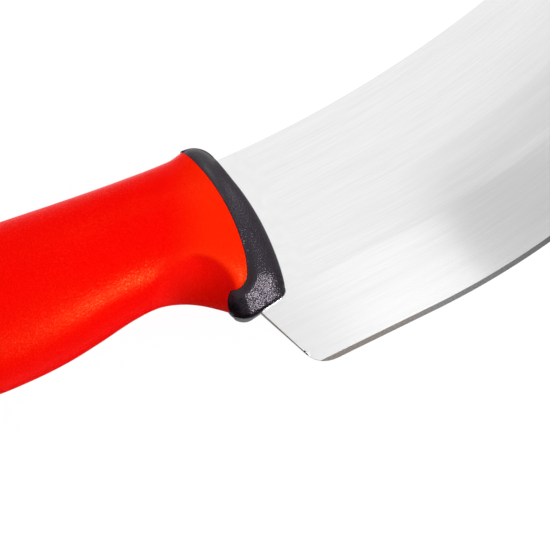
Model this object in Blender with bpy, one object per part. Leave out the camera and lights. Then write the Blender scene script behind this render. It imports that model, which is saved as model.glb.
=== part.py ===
"""Onion knife: a broad upswept blade moulded into a two-part handle.

The knife lies on its side. X runs from the handle to the tip, Y towards the spine and Z out of
the blade's face. Shapes are drawn about a datum on the blade's middle plane, at the foremost
point of the collar, and one empty then carries them to the part's own origin: the middle of the
knife's box in X and Y, at the height of the surface that the handle lies on.

All lengths are in metres. Shares of a length have no unit and say so in their comment.
"""

import math

import bmesh
import bpy
from mathutils import Vector
from mathutils.geometry import delaunay_2d_cdt

# Fits
GAP = 0.0003

# Blade, seen from the side
HEEL_WIDTH = 0.0501
SPINE_HEIGHT = 0.01335
SPINE_ANGLE = 3.0
SPINE_BEND_RADIUS = 0.262
SPINE_BEND_LENGTH = 0.100
SPINE_TIP_RADIUS = 0.560
SPINE_TIP_LENGTH = 0.092
EDGE_ANGLE = 5.0
EDGE_STRAIGHT_LENGTH = 0.028
EDGE_BEND_RADIUS = 0.185
EDGE_BEND_LENGTH = 0.070
BELLY_RADIUS = 0.330
BELLY_LENGTH = 0.040
HEEL_ANGLE = 116.2
HEEL_ROUNDING = 0.0041
TIP_ROUNDING = 0.0060
OUTLINE_STEP = 0.005

# Blade, in section
BLADE_THICKNESS = 0.0025
GRIND_WIDTH = 0.0182
BEVEL_WIDTH = 0.0010
BEVEL_THICKNESS = 0.0006
EDGE_LAND = 0.0001

# Root of the blade, which the grinding doesn't reach: its length ahead of the collar, how far each
# face stands proud there, and the widths over which it drops to the flat and to the grind
ROOT_LENGTH = 0.0054
ROOT_PROUD = 0.00003
ROOT_STEP = 0.0002
ROOT_FADE = 0.0010

# Tang, hidden in the handle
SHOULDER_SETBACK = 0.0080
TANG_END_WALL = 0.025
TANG_TOP = 0.0080
TANG_BOTTOM = -0.0072
TANG_END_TOP = 0.0062
TANG_END_BOTTOM = -0.0062
LOCK_HOLE_RADIUS = 0.0030
LOCK_HOLE_COUNT = 3
LOCK_HOLE_SIDES = 20

# Handle outline from the collar to the butt: share of the handle's length, height from the datum
HANDLE_LENGTH = 0.137
TOP_LINE = (
    (0.00, 0.01715), (0.066, 0.01715), (0.082, 0.01710), (0.11, 0.01650), (0.19, 0.01640),
    (0.29, 0.01685), (0.39, 0.01735), (0.50, 0.01770), (0.61, 0.01740), (0.72, 0.01640),
    (0.82, 0.01460), (0.905, 0.01230), (1.00, 0.01000),
)
BOTTOM_LINE = (
    (0.00, -0.0200), (0.06, -0.0200), (0.10, -0.0192), (0.14, -0.0151), (0.17, -0.0132),
    (0.205, -0.0124), (0.25, -0.0130), (0.307, -0.01475), (0.365, -0.01635), (0.42, -0.01725),
    (0.50, -0.0175), (0.61, -0.0160), (0.715, -0.0150), (0.80, -0.0166), (0.855, -0.0198),
    (0.905, -0.0215), (1.00, -0.0222),
)
SIDE_LINE = (
    (0.00, 0.0081), (0.04, 0.0085), (0.10, 0.0095), (0.16, 0.0098), (0.24, 0.0103),
    (0.33, 0.0112), (0.44, 0.0120), (0.60, 0.0118), (0.76, 0.0108), (0.883, 0.0110),
    (1.00, 0.0110),
)
SECTION_POWER = 2.35
GRIP_WALL = 0.0028

# Scoop for the forefinger in each side of the handle: its middle, reach and share of the width
SCOOP_SETBACK = 0.022
SCOOP_DROP = 0.014
SCOOP_RADIUS = 0.013
SCOOP_SHARE = 0.33

# Collar, the front end of the handle core
COLLAR_LENGTH = 0.0057
COLLAR_PROUD = 0.0003
COLLAR_SPINE_COVER = 0.0006
COLLAR_FRONT_BOTTOM = -0.0182
COLLAR_FRONT_HALF_WIDTH = 0.0058
FRONT_BOW_RADIUS = 0.060
FRONT_BOW_HEIGHT = -0.0100
BACK_BOW_RADIUS = 0.045
BACK_BOW_HEIGHT = -0.0035
BOW_FADE_LENGTH = 0.030

# Guard, the rounded lobe below the collar that stops the finger
GUARD_SETBACK = 0.0099
GUARD_DROP = 0.01795
GUARD_RADIUS = 0.00405
GUARD_TOE_RADIUS = 0.0028
GUARD_HALF_WIDTH = 0.0080
GUARD_ROUNDING = 0.0022

# Butt, the rear end of the handle core
BUTT_LENGTH = 0.016
BUTT_POWER = 2.4
HANGING_HOLE_RADIUS = 0.0040
HANGING_HOLE_SETBACK = 0.0090

# Mesh density
RING_POINTS = 36
NECK_RINGS = 12
PALM_RINGS = 15
ROOT_LINE_POINTS = 9
COLLAR_STEPS = (1.0, 0.93, 0.78, 0.55, 0.28, 0.0)
BUTT_STEPS = (0.0, 0.3, 0.55, 0.76, 0.9, 0.975, 0.997)
ROUNDING_POINTS = 5
GUARD_ARC_POINTS = 14
GUARD_ROUNDING_RINGS = 4
HOLE_SIDES = 32

# A point this close to the grind line lies on it
LINE_TOLERANCE = 0.00003


def clear_scene():
    """Remove every object of the open scene."""
    for old in list(bpy.data.objects):
        bpy.data.objects.remove(old, do_unlink=True)


def material(name, colour, roughness, metallic):
    """Return a Principled material of one colour."""
    made = bpy.data.materials.new(name)
    made.use_nodes = True
    shader = made.node_tree.nodes["Principled BSDF"]
    shader.inputs["Base Color"].default_value = (*colour, 1.0)
    shader.inputs["Roughness"].default_value = roughness
    shader.inputs["Metallic"].default_value = metallic
    made.diffuse_color = (*colour, 1.0)
    return made


def piece(name, mesh, finish=None, parent=None):
    """Link a mesh to the scene as one named object."""
    made = bpy.data.objects.new(name, mesh)
    bpy.context.collection.objects.link(made)
    made.parent = parent
    if finish:
        mesh.materials.append(finish)
    else:
        made.hide_render = True
        made.display_type = "WIRE"
    return made


def cut(target, cutter, operation="DIFFERENCE"):
    """Add a Boolean of the cutter to the target."""
    step = target.modifiers.new(f"{operation.lower()} {cutter.name}", "BOOLEAN")
    step.operation = operation
    step.solver = "EXACT"
    step.object = cutter


def shade_round(mesh, sharp_angle=35.0):
    """Shade a mesh smooth, apart from the edges that turn more than the angle."""
    mesh.shade_smooth()
    mesh.set_sharp_from_angle(angle=math.radians(sharp_angle))


def turned_walk(start, heading, runs):
    """Follow straight runs and arcs from a point and return the points passed and the heading."""
    x, y = start
    heading = math.radians(heading)
    points = [(x, y)]
    for length, radius in runs:
        steps = max(1, round(length / OUTLINE_STEP)) if radius else 1
        for _ in range(steps):
            turn = length / steps / radius if radius else 0.0
            x += length / steps * math.cos(heading + turn / 2)
            y += length / steps * math.sin(heading + turn / 2)
            heading += turn
            points.append((x, y))
    return points, math.degrees(heading)


def arc_to(start, heading, end):
    """Return an arc's points from a start and its heading, in degrees, to an end."""
    across = Vector(end) - Vector(start)
    along = Vector((math.cos(math.radians(heading)), math.sin(math.radians(heading))))
    side = Vector((-along.y, along.x))
    turn = 2 * math.atan2(across.dot(side), across.dot(along))
    radius = across.length / 2 / math.sin(turn / 2)
    points, _ = turned_walk(start, heading, [(radius * turn, radius)])
    return points


def shortened(line, length):
    """Return a line of points with the given length taken off its end."""
    line = [Vector(point) for point in line]
    while (line[-1] - line[-2]).length <= length:
        length -= (line[-1] - line[-2]).length
        line.pop()
    line[-1] = line[-1] + (line[-2] - line[-1]).normalized() * length
    return [tuple(point) for point in line]


def rounded_join(first, second, rounding):
    """Join two lines that meet at a corner, with the corner rounded over the given length."""
    corner = Vector(first[-1])
    before = shortened(first, rounding)
    after = shortened(second[::-1], rounding)[::-1]
    start, end = Vector(before[-1]), Vector(after[0])
    curve = []
    for step in range(1, ROUNDING_POINTS):
        share = step / ROUNDING_POINTS
        curve.append(tuple((1 - share) ** 2 * start + 2 * share * (1 - share) * corner + share ** 2 * end))
    return before + curve + after


def distance_to(line, point):
    """Return the shortest distance from a point to a line of points."""
    point = Vector(point)
    nearest = math.inf
    for start, end in zip(line, line[1:]):
        start, end = Vector(start), Vector(end)
        run = end - start
        share = min(1.0, max(0.0, (point - start).dot(run) / run.length_squared))
        nearest = min(nearest, (point - start - run * share).length)
    return nearest


def moved_sideways(line, distance, closed=False):
    """Return a line of points moved to its left, or to its right for a negative distance."""
    count = len(line)
    moved = []
    for index in range(count):
        before = Vector(line[index - 1] if index or closed else line[0])
        here = Vector(line[index])
        after = Vector(line[(index + 1) % count] if index < count - 1 or closed else line[-1])
        runs = [run.normalized() for run in (here - before, after - here) if run.length]
        sides = [Vector((-run.y, run.x)) for run in runs]
        middle = sum(sides, Vector((0.0, 0.0))).normalized()
        moved.append(tuple(here + middle * (distance / middle.dot(sides[0]))))
    return moved


def spine_start():
    """Return the spine's rear end, at the blade's top shoulder."""
    drop = SHOULDER_SETBACK * math.tan(math.radians(SPINE_ANGLE))
    return (-SHOULDER_SETBACK, SPINE_HEIGHT - drop)


def heel_line():
    """Return the heel's upper end, hidden in the guard, and its sharp lower corner."""
    top = (-SHOULDER_SETBACK, -GUARD_DROP - GUARD_RADIUS / 2)
    low = SPINE_HEIGHT - HEEL_WIDTH
    return [top, (top[0] + (low - top[1]) / math.tan(math.radians(HEEL_ANGLE)), low)]


def edge_line():
    """Return the cutting edge from the heel's sharp corner to the tip, and the spine to the tip."""
    spine_runs = [
        (SHOULDER_SETBACK, None),
        (SPINE_BEND_LENGTH, SPINE_BEND_RADIUS),
        (SPINE_TIP_LENGTH, SPINE_TIP_RADIUS),
    ]
    spine, _ = turned_walk(spine_start(), SPINE_ANGLE, spine_runs)
    edge_runs = [
        (EDGE_STRAIGHT_LENGTH, None),
        (EDGE_BEND_LENGTH, EDGE_BEND_RADIUS),
        (BELLY_LENGTH, BELLY_RADIUS),
    ]
    edge, heading = turned_walk(heel_line()[1], EDGE_ANGLE, edge_runs)
    return edge + arc_to(edge[-1], heading, spine[-1])[1:], spine


def tang_end():
    """Return how far forward of the datum the tang's rear end lies."""
    return BUTT_LENGTH + TANG_END_WALL - HANDLE_LENGTH


def tang_line():
    """Return the tang's corners from the top shoulder round to the bottom shoulder."""
    end = tang_end()
    return [
        (-SHOULDER_SETBACK, TANG_TOP),
        (end, TANG_END_TOP),
        (end, TANG_END_BOTTOM),
        (-SHOULDER_SETBACK, TANG_BOTTOM),
    ]


def lock_holes(radius):
    """Return the outlines of the tang's holes, which the handle's plastic fills."""
    pitch = -(tang_end() + SHOULDER_SETBACK) / (LOCK_HOLE_COUNT + 0.5)
    holes = []
    for index in range(LOCK_HOLE_COUNT):
        centre = Vector((-SHOULDER_SETBACK - pitch * (index + 0.75), 0.0))
        turns = [math.tau * side / LOCK_HOLE_SIDES for side in range(LOCK_HOLE_SIDES)]
        holes.append([tuple(centre + radius * Vector((math.cos(t), math.sin(t)))) for t in turns])
    return holes


def sheet_solid(name, outline, holes, inner_lines, half_thickness):
    """Make a closed solid that is mirrored about Z = 0, from an outline and a thickness rule.

    outline and holes are closed lines of points, and inner_lines are open lines that become edges
    of the faces. half_thickness gives the solid's half thickness at a point.
    """
    points, edges = [], []
    runs = [(line, True) for line in [outline] + holes] + [(line, False) for line in inner_lines]
    for line, closed in runs:
        first = len(points)
        points.extend(Vector(point) for point in line)
        edges.extend((first + index, first + index + 1) for index in range(len(line) - 1))
        if closed:
            edges.append((first + len(line) - 1, first))
    corners, _, triangles, *_ = delaunay_2d_cdt(points, edges, [], 1, 1e-7)
    kept = []
    for triangle in triangles:
        middle = sum((corners[index] for index in triangle), Vector((0.0, 0.0))) / 3
        if not any(inside(hole, middle) for hole in holes):
            kept.append(triangle)
    shape = bmesh.new()
    upper, lower = {}, {}
    for index in sorted({index for triangle in kept for index in triangle}):
        x, y = corners[index]
        height = half_thickness((x, y))
        upper[index] = shape.verts.new((x, y, height))
        lower[index] = shape.verts.new((x, y, -height))
    rim = {}
    for triangle in kept:
        shape.faces.new([upper[index] for index in triangle])
        shape.faces.new([lower[index] for index in reversed(triangle)])
        for start, end in zip(triangle, triangle[1:] + triangle[:1]):
            rim[(start, end)] = True
    for start, end in list(rim):
        if (end, start) not in rim:
            shape.faces.new((upper[end], upper[start], lower[start], lower[end]))
    bmesh.ops.recalc_face_normals(shape, faces=shape.faces)
    mesh = bpy.data.meshes.new(name)
    shape.to_mesh(mesh)
    shape.free()
    return mesh


def inside(outline, point):
    """Say whether a point lies inside a closed line of points."""
    crossings = 0
    for (x1, y1), (x2, y2) in zip(outline, outline[1:] + outline[:1]):
        if (y1 > point[1]) != (y2 > point[1]):
            crossings += point[0] < x1 + (point[1] - y1) / (y2 - y1) * (x2 - x1)
    return crossings % 2 == 1


def root_front(height, length):
    """Return how far forward the root reaches at a height, for a length ahead of the collar."""
    return length + bow(height, 0.0)


def root_line(length):
    """Return the root's front as a line of points, from the grind to above the spine."""
    low, high = SPINE_HEIGHT - HEEL_WIDTH + GRIND_WIDTH, SPINE_HEIGHT + ROOT_LENGTH
    return [(root_front(height, length), height) for height in spaced(low, high, ROOT_LINE_POINTS)]


def blade_mesh():
    """Make the blade: flat above, ground below, bevelled at its edge, with its tang."""
    edge, spine = edge_line()
    low = rounded_join(heel_line(), edge, HEEL_ROUNDING)
    outline = rounded_join(low, spine[::-1], TIP_ROUNDING) + tang_line()
    run_in = Vector(edge[0]) - (Vector(edge[1]) - Vector(edge[0])).normalized() * GRIND_WIDTH
    guide = [tuple(run_in)] + edge
    lines = [moved_sideways(guide, BEVEL_WIDTH), moved_sideways(guide, GRIND_WIDTH)]
    lines.append(moved_sideways(guide, GRIND_WIDTH + ROOT_FADE))
    lines += [root_line(ROOT_LENGTH), root_line(ROOT_LENGTH - ROOT_STEP)]

    def half_thickness(point):
        depth = distance_to(guide, point)
        if depth > GRIND_WIDTH and point[0] < root_front(point[1], ROOT_LENGTH) - ROOT_STEP / 2:
            return BLADE_THICKNESS / 2 + ROOT_PROUD * min(1.0, (depth - GRIND_WIDTH) / ROOT_FADE)
        if depth < BEVEL_WIDTH:
            return (EDGE_LAND + (BEVEL_THICKNESS - EDGE_LAND) * depth / BEVEL_WIDTH) / 2
        if depth > GRIND_WIDTH - LINE_TOLERANCE:
            return BLADE_THICKNESS / 2
        share = (depth - BEVEL_WIDTH) / (GRIND_WIDTH - BEVEL_WIDTH)
        return (BEVEL_THICKNESS + (BLADE_THICKNESS - BEVEL_THICKNESS) * share) / 2

    return sheet_solid("blade", outline, lock_holes(LOCK_HOLE_RADIUS), lines, half_thickness)


def pocket_mesh():
    """Make the space in the handle core that the blade's root and its tang fill."""
    heel_top, heel_corner = heel_line()
    reach = SHOULDER_SETBACK
    rise = 2 * reach * math.tan(math.radians(SPINE_ANGLE))
    outline = [heel_top, heel_corner, (reach, heel_corner[1])]
    outline += [(reach, spine_start()[1] + rise), spine_start()] + tang_line()
    outline = moved_sideways(outline, -GAP, closed=True)
    half = BLADE_THICKNESS / 2 + ROOT_PROUD + GAP
    return sheet_solid("tang pocket", outline, lock_holes(LOCK_HOLE_RADIUS - GAP), [], lambda point: half)


def read_line(line, share):
    """Return the height of an outline at a share of the handle's length, on a smooth curve."""
    if share <= line[0][0]:
        return line[0][1]
    if share >= line[-1][0]:
        return line[-1][1]
    at = max(index for index in range(len(line) - 1) if line[index][0] <= share)
    (x1, y1), (x2, y2) = line[at], line[at + 1]
    before = line[max(at - 1, 0)]
    after = line[min(at + 2, len(line) - 1)]
    slope1 = (y2 - before[1]) / (x2 - before[0])
    slope2 = (after[1] - y1) / (after[0] - x1)
    run = x2 - x1
    t = (share - x1) / run
    return (
        (2 * t ** 3 - 3 * t ** 2 + 1) * y1 + (t ** 3 - 2 * t ** 2 + t) * run * slope1
        + (3 * t ** 2 - 2 * t ** 3) * y2 + (t ** 3 - t ** 2) * run * slope2
    )


def bow(height, back):
    """Return how far a handle section leans back at a height, as the collar's face does."""
    share = min(1.0, back / COLLAR_LENGTH)
    radius = FRONT_BOW_RADIUS + (BACK_BOW_RADIUS - FRONT_BOW_RADIUS) * share
    middle = FRONT_BOW_HEIGHT + (BACK_BOW_HEIGHT - FRONT_BOW_HEIGHT) * share
    fade = min(1.0, max(0.0, (back - COLLAR_LENGTH) / BOW_FADE_LENGTH))
    weight = 1 - fade * fade * (3 - 2 * fade)
    return -weight * (height - middle) ** 2 / (2 * radius)


def scoop(x, y):
    """Return the share of the handle's width that the finger scoop leaves at a point."""
    reach = math.hypot(x + SCOOP_SETBACK, y + SCOOP_DROP) / SCOOP_RADIUS
    return 1 - SCOOP_SHARE * max(0.0, 1 - reach ** 2)


def ring(back, top, bottom, half_width, grow=0.0):
    """Return one section of the handle as points, from its top round through +Z and -Z."""
    middle, half_height = (top + bottom) / 2, (top - bottom) / 2 + grow
    half_width += grow
    points = []
    for index in range(RING_POINTS):
        turn = math.tau * (index + 0.5) / RING_POINTS
        cosine, sine = math.cos(turn), math.sin(turn)
        y = middle + half_height * math.copysign(abs(cosine) ** (2 / SECTION_POWER), cosine)
        z = half_width * math.copysign(abs(sine) ** (2 / SECTION_POWER), sine)
        x = -back + bow(y, back)
        points.append((x, y, z * scoop(x, y)))
    return points


def outer_ring(back, grow=0.0):
    """Return the handle's outer section at a distance behind the datum."""
    share = back / HANDLE_LENGTH
    sizes = [read_line(line, share) for line in (TOP_LINE, BOTTOM_LINE, SIDE_LINE)]
    return ring(back, *sizes, grow=grow)


def collar_ring(step):
    """Return a section of the collar, from its back at step 0 to its front face at step 1."""
    back = COLLAR_LENGTH * (1 - step)
    share = back / HANDLE_LENGTH
    fullness = math.sqrt(1 - step ** 2)
    front_top = SPINE_HEIGHT + COLLAR_SPINE_COVER
    low_fullness = math.sqrt(1 - step ** 4)
    top = read_line(TOP_LINE, share) + COLLAR_PROUD
    bottom = read_line(BOTTOM_LINE, share) - COLLAR_PROUD
    side = read_line(SIDE_LINE, share) + COLLAR_PROUD
    return ring(
        back,
        front_top + (top - front_top) * fullness,
        COLLAR_FRONT_BOTTOM + (bottom - COLLAR_FRONT_BOTTOM) * low_fullness,
        COLLAR_FRONT_HALF_WIDTH + (side - COLLAR_FRONT_HALF_WIDTH) * fullness,
    )


def butt_ring(step):
    """Return a section of the butt, from its front at step 0 to its rounded end at step 1."""
    back = HANDLE_LENGTH - BUTT_LENGTH * (1 - step)
    share = back / HANDLE_LENGTH
    fullness = (1 - step ** BUTT_POWER) ** (1 / BUTT_POWER)
    top, bottom, side = [read_line(line, share) for line in (TOP_LINE, BOTTOM_LINE, SIDE_LINE)]
    middle, half_height = (top + bottom) / 2, ((top - bottom) / 2 + COLLAR_PROUD) * fullness
    return ring(back, middle + half_height, middle - half_height, (side + COLLAR_PROUD) * fullness)


def loft(name, rings, closed=False):
    """Skin a row of rings as one closed solid, capped at its ends or joined into a tube.

    A ring mirrors itself about Z = 0 in its second half, so strips across Z cap the ends.
    """
    shape = bmesh.new()
    count = len(rings[0])
    rows = [[shape.verts.new(point) for point in points] for points in rings]
    for first, second in zip(rows, rows[1:] + rows[:1] if closed else rows[1:]):
        for index in range(count):
            after = (index + 1) % count
            shape.faces.new((first[index], first[after], second[after], second[index]))
    if not closed:
        for row in (rows[0], rows[-1]):
            for index in range(count // 2 - 1):
                last = count - 1 - index
                shape.faces.new((row[index], row[index + 1], row[last - 1], row[last]))
    bmesh.ops.recalc_face_normals(shape, faces=shape.faces)
    mesh = bpy.data.meshes.new(name)
    shape.to_mesh(mesh)
    shape.free()
    shade_round(mesh)
    return mesh


def spaced(start, end, count):
    """Return a number of evenly spaced values, both ends included."""
    return [start + (end - start) * index / (count - 1) for index in range(count)]


def guard_outline(grow):
    """Return the guard's outline: the lobe and a smaller toe in the collar, with straight sides."""
    lobe = Vector((-GUARD_SETBACK, -GUARD_DROP))
    toe = Vector((GUARD_TOE_RADIUS - COLLAR_LENGTH, BOTTOM_LINE[0][1] + GUARD_TOE_RADIUS))
    across = toe - lobe
    heading = math.atan2(across.y, across.x)
    half_turn = math.acos((GUARD_RADIUS - GUARD_TOE_RADIUS) / across.length)
    arcs = (
        (lobe, GUARD_RADIUS, half_turn, math.tau - half_turn),
        (toe, GUARD_TOE_RADIUS, -half_turn, half_turn),
    )
    points = []
    for centre, radius, start, end in arcs:
        for turn in spaced(heading + start, heading + end, GUARD_ARC_POINTS):
            points.append(tuple(centre + (radius + grow) * Vector((math.cos(turn), math.sin(turn)))))
    return points


def guard_mesh(grow=0.0):
    """Make the guard: a short roll across the handle, with a toe into the collar and round rims."""
    upper = []
    for turn in spaced(0.0, math.pi / 2, GUARD_ROUNDING_RINGS):
        height = GUARD_HALF_WIDTH + grow - GUARD_ROUNDING * (1 - math.sin(turn))
        outline = guard_outline(grow - GUARD_ROUNDING * (1 - math.cos(turn)))
        upper.append([(x, y, height) for x, y in outline])
    lower = [[(x, y, -z) for x, y, z in points] for points in upper[::-1]]
    shape = bmesh.new()
    rows = [[shape.verts.new(point) for point in points] for points in lower + upper]
    count = len(rows[0])
    for first, second in zip(rows, rows[1:]):
        for index in range(count):
            after = (index + 1) % count
            shape.faces.new((first[index], first[after], second[after], second[index]))
    shape.faces.new(rows[0][::-1])
    shape.faces.new(rows[-1])
    mesh = bpy.data.meshes.new("guard")
    shape.to_mesh(mesh)
    shape.free()
    shade_round(mesh)
    return mesh


def grip_stations(end_gap=0.0):
    """Return the places of the grip's sections behind the datum, closest together at the scoop."""
    front, rear = COLLAR_LENGTH + end_gap, HANDLE_LENGTH - BUTT_LENGTH - end_gap
    scoop_end = SCOOP_SETBACK + SCOOP_RADIUS
    return spaced(front, scoop_end, NECK_RINGS) + spaced(scoop_end, rear, PALM_RINGS)[1:]


def core_mesh():
    """Make the handle core: collar, slimmer body under the grip, and butt."""
    rings = [collar_ring(step) for step in COLLAR_STEPS]
    rings += [outer_ring(back, -GRIP_WALL) for back in grip_stations()]
    rings += [butt_ring(step) for step in BUTT_STEPS]
    return loft("handle_core", rings)


def grip_mesh():
    """Make the grip: a sleeve round the core's body, between the collar and the butt."""
    outside = [outer_ring(back) for back in grip_stations(GAP)]
    bore = [outer_ring(back, GAP - GRIP_WALL) for back in grip_stations(GAP)]
    return loft("grip_sleeve", outside + bore[::-1], closed=True)


def hanging_hole_mesh():
    """Make the hole through the butt that the knife hangs by."""
    shape = bmesh.new()
    depth = 4 * max(width for _, width in SIDE_LINE)
    bmesh.ops.create_cone(
        shape, cap_ends=True, segments=HOLE_SIDES, radius1=HANGING_HOLE_RADIUS,
        radius2=HANGING_HOLE_RADIUS, depth=depth,
    )
    share = 1 - HANGING_HOLE_SETBACK / HANDLE_LENGTH
    height = (read_line(TOP_LINE, share) + read_line(BOTTOM_LINE, share)) / 2
    centre = (HANGING_HOLE_SETBACK - HANDLE_LENGTH, height, 0.0)
    bmesh.ops.translate(shape, verts=shape.verts, vec=centre)
    mesh = bpy.data.meshes.new("hanging hole")
    shape.to_mesh(mesh)
    shape.free()
    return mesh


def place_on_origin(carrier, pieces):
    """Move the carrier so that the pieces' box is centred in X and Y and stands on Z = 0."""
    corners = [vertex.co for made in pieces for vertex in made.data.vertices]
    lows = [min(corner[axis] for corner in corners) for axis in range(3)]
    highs = [max(corner[axis] for corner in corners) for axis in range(3)]
    carrier.location = (-(lows[0] + highs[0]) / 2, -(lows[1] + highs[1]) / 2, -lows[2])


def main():
    """Build the knife."""
    clear_scene()
    steel = material("satin steel", (0.80, 0.80, 0.79), 0.30, 1.0)
    black = material("black plastic", (0.030, 0.026, 0.034), 0.55, 0.0)
    red = material("red plastic", (0.88, 0.012, 0.004), 0.45, 0.0)

    knife = bpy.data.objects.new("knife", None)
    bpy.context.collection.objects.link(knife)

    blade = piece("blade", blade_mesh(), steel, knife)
    core = piece("handle_core", core_mesh(), black, knife)
    grip = piece("grip_sleeve", grip_mesh(), red, knife)

    cut(core, piece("guard", guard_mesh(), parent=knife), "UNION")
    cut(core, piece("tang_pocket", pocket_mesh(), parent=knife))
    cut(core, piece("hanging_hole", hanging_hole_mesh(), parent=knife))
    cut(grip, piece("guard_clearance", guard_mesh(GAP), parent=knife))

    place_on_origin(knife, (blade, core, grip))


main()
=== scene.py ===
"""Looks of the onion knife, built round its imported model.

Shapes are worked out in millimetres about the knife's datum, the collar's foremost point on the
blade's middle plane: X towards the tip, Y towards the spine, Z out of the blade's face. Placement
turns every mesh into metres in the frame.
"""

import logging
import math
from collections.abc import Callable, Sequence
from dataclasses import dataclass
from enum import Enum

import bmesh
import bpy
import numpy as np
from mathutils import Matrix, Vector
from mathutils.geometry import delaunay_2d_cdt


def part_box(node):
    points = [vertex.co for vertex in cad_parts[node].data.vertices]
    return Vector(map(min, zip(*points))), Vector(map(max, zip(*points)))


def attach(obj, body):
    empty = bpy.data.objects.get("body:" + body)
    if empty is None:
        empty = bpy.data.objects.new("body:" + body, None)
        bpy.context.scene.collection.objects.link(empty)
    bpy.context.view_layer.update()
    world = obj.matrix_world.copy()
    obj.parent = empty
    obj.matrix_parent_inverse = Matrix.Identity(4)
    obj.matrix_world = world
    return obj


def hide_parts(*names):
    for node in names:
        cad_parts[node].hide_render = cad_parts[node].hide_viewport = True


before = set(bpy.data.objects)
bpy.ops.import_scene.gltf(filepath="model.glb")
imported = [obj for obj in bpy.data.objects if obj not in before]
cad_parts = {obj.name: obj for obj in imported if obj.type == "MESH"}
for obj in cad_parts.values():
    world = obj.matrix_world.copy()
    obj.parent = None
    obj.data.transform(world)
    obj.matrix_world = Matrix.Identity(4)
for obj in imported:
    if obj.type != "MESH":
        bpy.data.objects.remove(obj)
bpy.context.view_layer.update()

MM = 0.001

# Edges that turn by more than this stay crisp
SHARP_ANGLE = math.radians(35.0)

# How far above the cutting edge the bevel and the grind reach, in mm
BEVEL_WIDTH = 1.1
GRIND_WIDTH = 18.2

# The sleeve's wall, in mm
GRIP_WALL = 2.8

# How the triangulation works: it keeps what lies inside, and merges points this close, in mm
KEEP_INSIDE = 1
MERGE_DISTANCE = 1e-5

# A Mix node's sockets for colours, by place, and the middle of a noise pattern
MIX_COLOURS = (6, 7)
MIXED_COLOUR = 2
NOISE_MIDDLE = 0.5

Point = tuple[float, float]
Line = list[Point]
Run = tuple[float, float | None]
Span = tuple[float, float]
Colour = tuple[float, float, float]

BLACK: Colour = (0.0, 0.0, 0.0)

log = logging.getLogger("onion_knife")


# Plane lines


def walk(start: Point, heading: float, runs: Sequence[Run], step: float) -> tuple[Line, float]:
    """Follow straight runs and arcs from a point.

    Args:
        start: where the line starts.
        heading: its first direction, in degrees from +X.
        runs: each run's length and its radius to the left, or None for a straight one.
        step: about how far apart the points lie.

    Returns:
        The points passed, and the last heading in degrees.
    """
    x, y = start
    turned = math.radians(heading)
    points = [(x, y)]
    for length, radius in runs:
        count = max(1, round(length / step))
        for _ in range(count):
            turn = length / count / radius if radius else 0.0
            x += length / count * math.cos(turned + turn / 2)
            y += length / count * math.sin(turned + turn / 2)
            turned += turn
            points.append((x, y))
    return points, math.degrees(turned)


def arc_to(start: Point, heading: float, end: Point, step: float) -> Line:
    """Draw the arc that leaves a point with a heading and reaches another point.

    Args:
        start: where the arc starts.
        heading: its first direction, in degrees from +X.
        end: where the arc ends.
        step: about how far apart the points lie.

    Returns:
        The arc's points, with both ends.
    """
    across = Vector(end) - Vector(start)
    along = Vector((math.cos(math.radians(heading)), math.sin(math.radians(heading))))
    side = Vector((-along.y, along.x))
    turn = 2 * math.atan2(across.dot(side), across.dot(along))
    radius = across.length / 2 / math.sin(turn / 2)
    return walk(start, heading, [(radius * turn, radius)], step)[0]


def arc(centre: Point, radius: float, turns: Span, step: float) -> Line:
    """Draw an arc about a centre.

    Args:
        centre: the arc's centre.
        radius: its radius.
        turns: the angles at which it starts and ends, in degrees from +X.
        step: about how far apart the points lie.

    Returns:
        The arc's points, with both ends.
    """
    start, end = turns
    count = max(2, round(abs(math.radians(end - start)) * radius / step))
    angles = [math.radians(start + (end - start) * index / count) for index in range(count + 1)]
    return [(centre[0] + radius * math.cos(angle), centre[1] + radius * math.sin(angle)) for angle in angles]


def straight(start: Point, end: Point, step: float) -> Line:
    """Draw a straight line.

    Args:
        start: where the line starts.
        end: where it ends.
        step: about how far apart the points lie.

    Returns:
        The line's points, with both ends.
    """
    count = max(1, round(math.dist(start, end) / step))
    return [
        (start[0] + (end[0] - start[0]) * index / count, start[1] + (end[1] - start[1]) * index / count)
        for index in range(count + 1)
    ]


def without_repeats(line: Line, least: float) -> Line:
    """Leave out the points of a line that lie too close to the last one kept.

    Args:
        line: the line.
        least: the least distance between two points.

    Returns:
        The line's other points.
    """
    kept = [line[0]]
    for point in line[1:]:
        if math.dist(point, kept[-1]) >= least:
            kept.append(point)
    return kept


def shortened(line: Line, length: float) -> Line:
    """Take a length off a line's end.

    Args:
        line: the line.
        length: the length that is taken off.

    Returns:
        The line that is left.
    """
    points = [Vector(point) for point in line]
    while (points[-1] - points[-2]).length <= length:
        length -= (points[-1] - points[-2]).length
        points.pop()
    points[-1] = points[-1] + (points[-2] - points[-1]).normalized() * length
    return [tuple(point) for point in points]


def rounded_join(first: Line, second: Line, rounding: float, steps: int = 12) -> Line:
    """Join two lines that meet at a corner, and round the corner.

    Args:
        first: the line that ends at the corner.
        second: the line that starts there.
        rounding: the length of each line that the rounding takes up.
        steps: how many sides the rounding has.

    Returns:
        The joined line.
    """
    corner = Vector(first[-1])
    before = shortened(first, rounding)
    after = shortened(second[::-1], rounding)[::-1]
    start, end = Vector(before[-1]), Vector(after[0])
    curve = []
    for index in range(1, steps):
        share = index / steps
        bend = (1 - share) ** 2 * start + 2 * share * (1 - share) * corner + share ** 2 * end
        curve.append(tuple(bend))
    return before + curve + after


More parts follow.
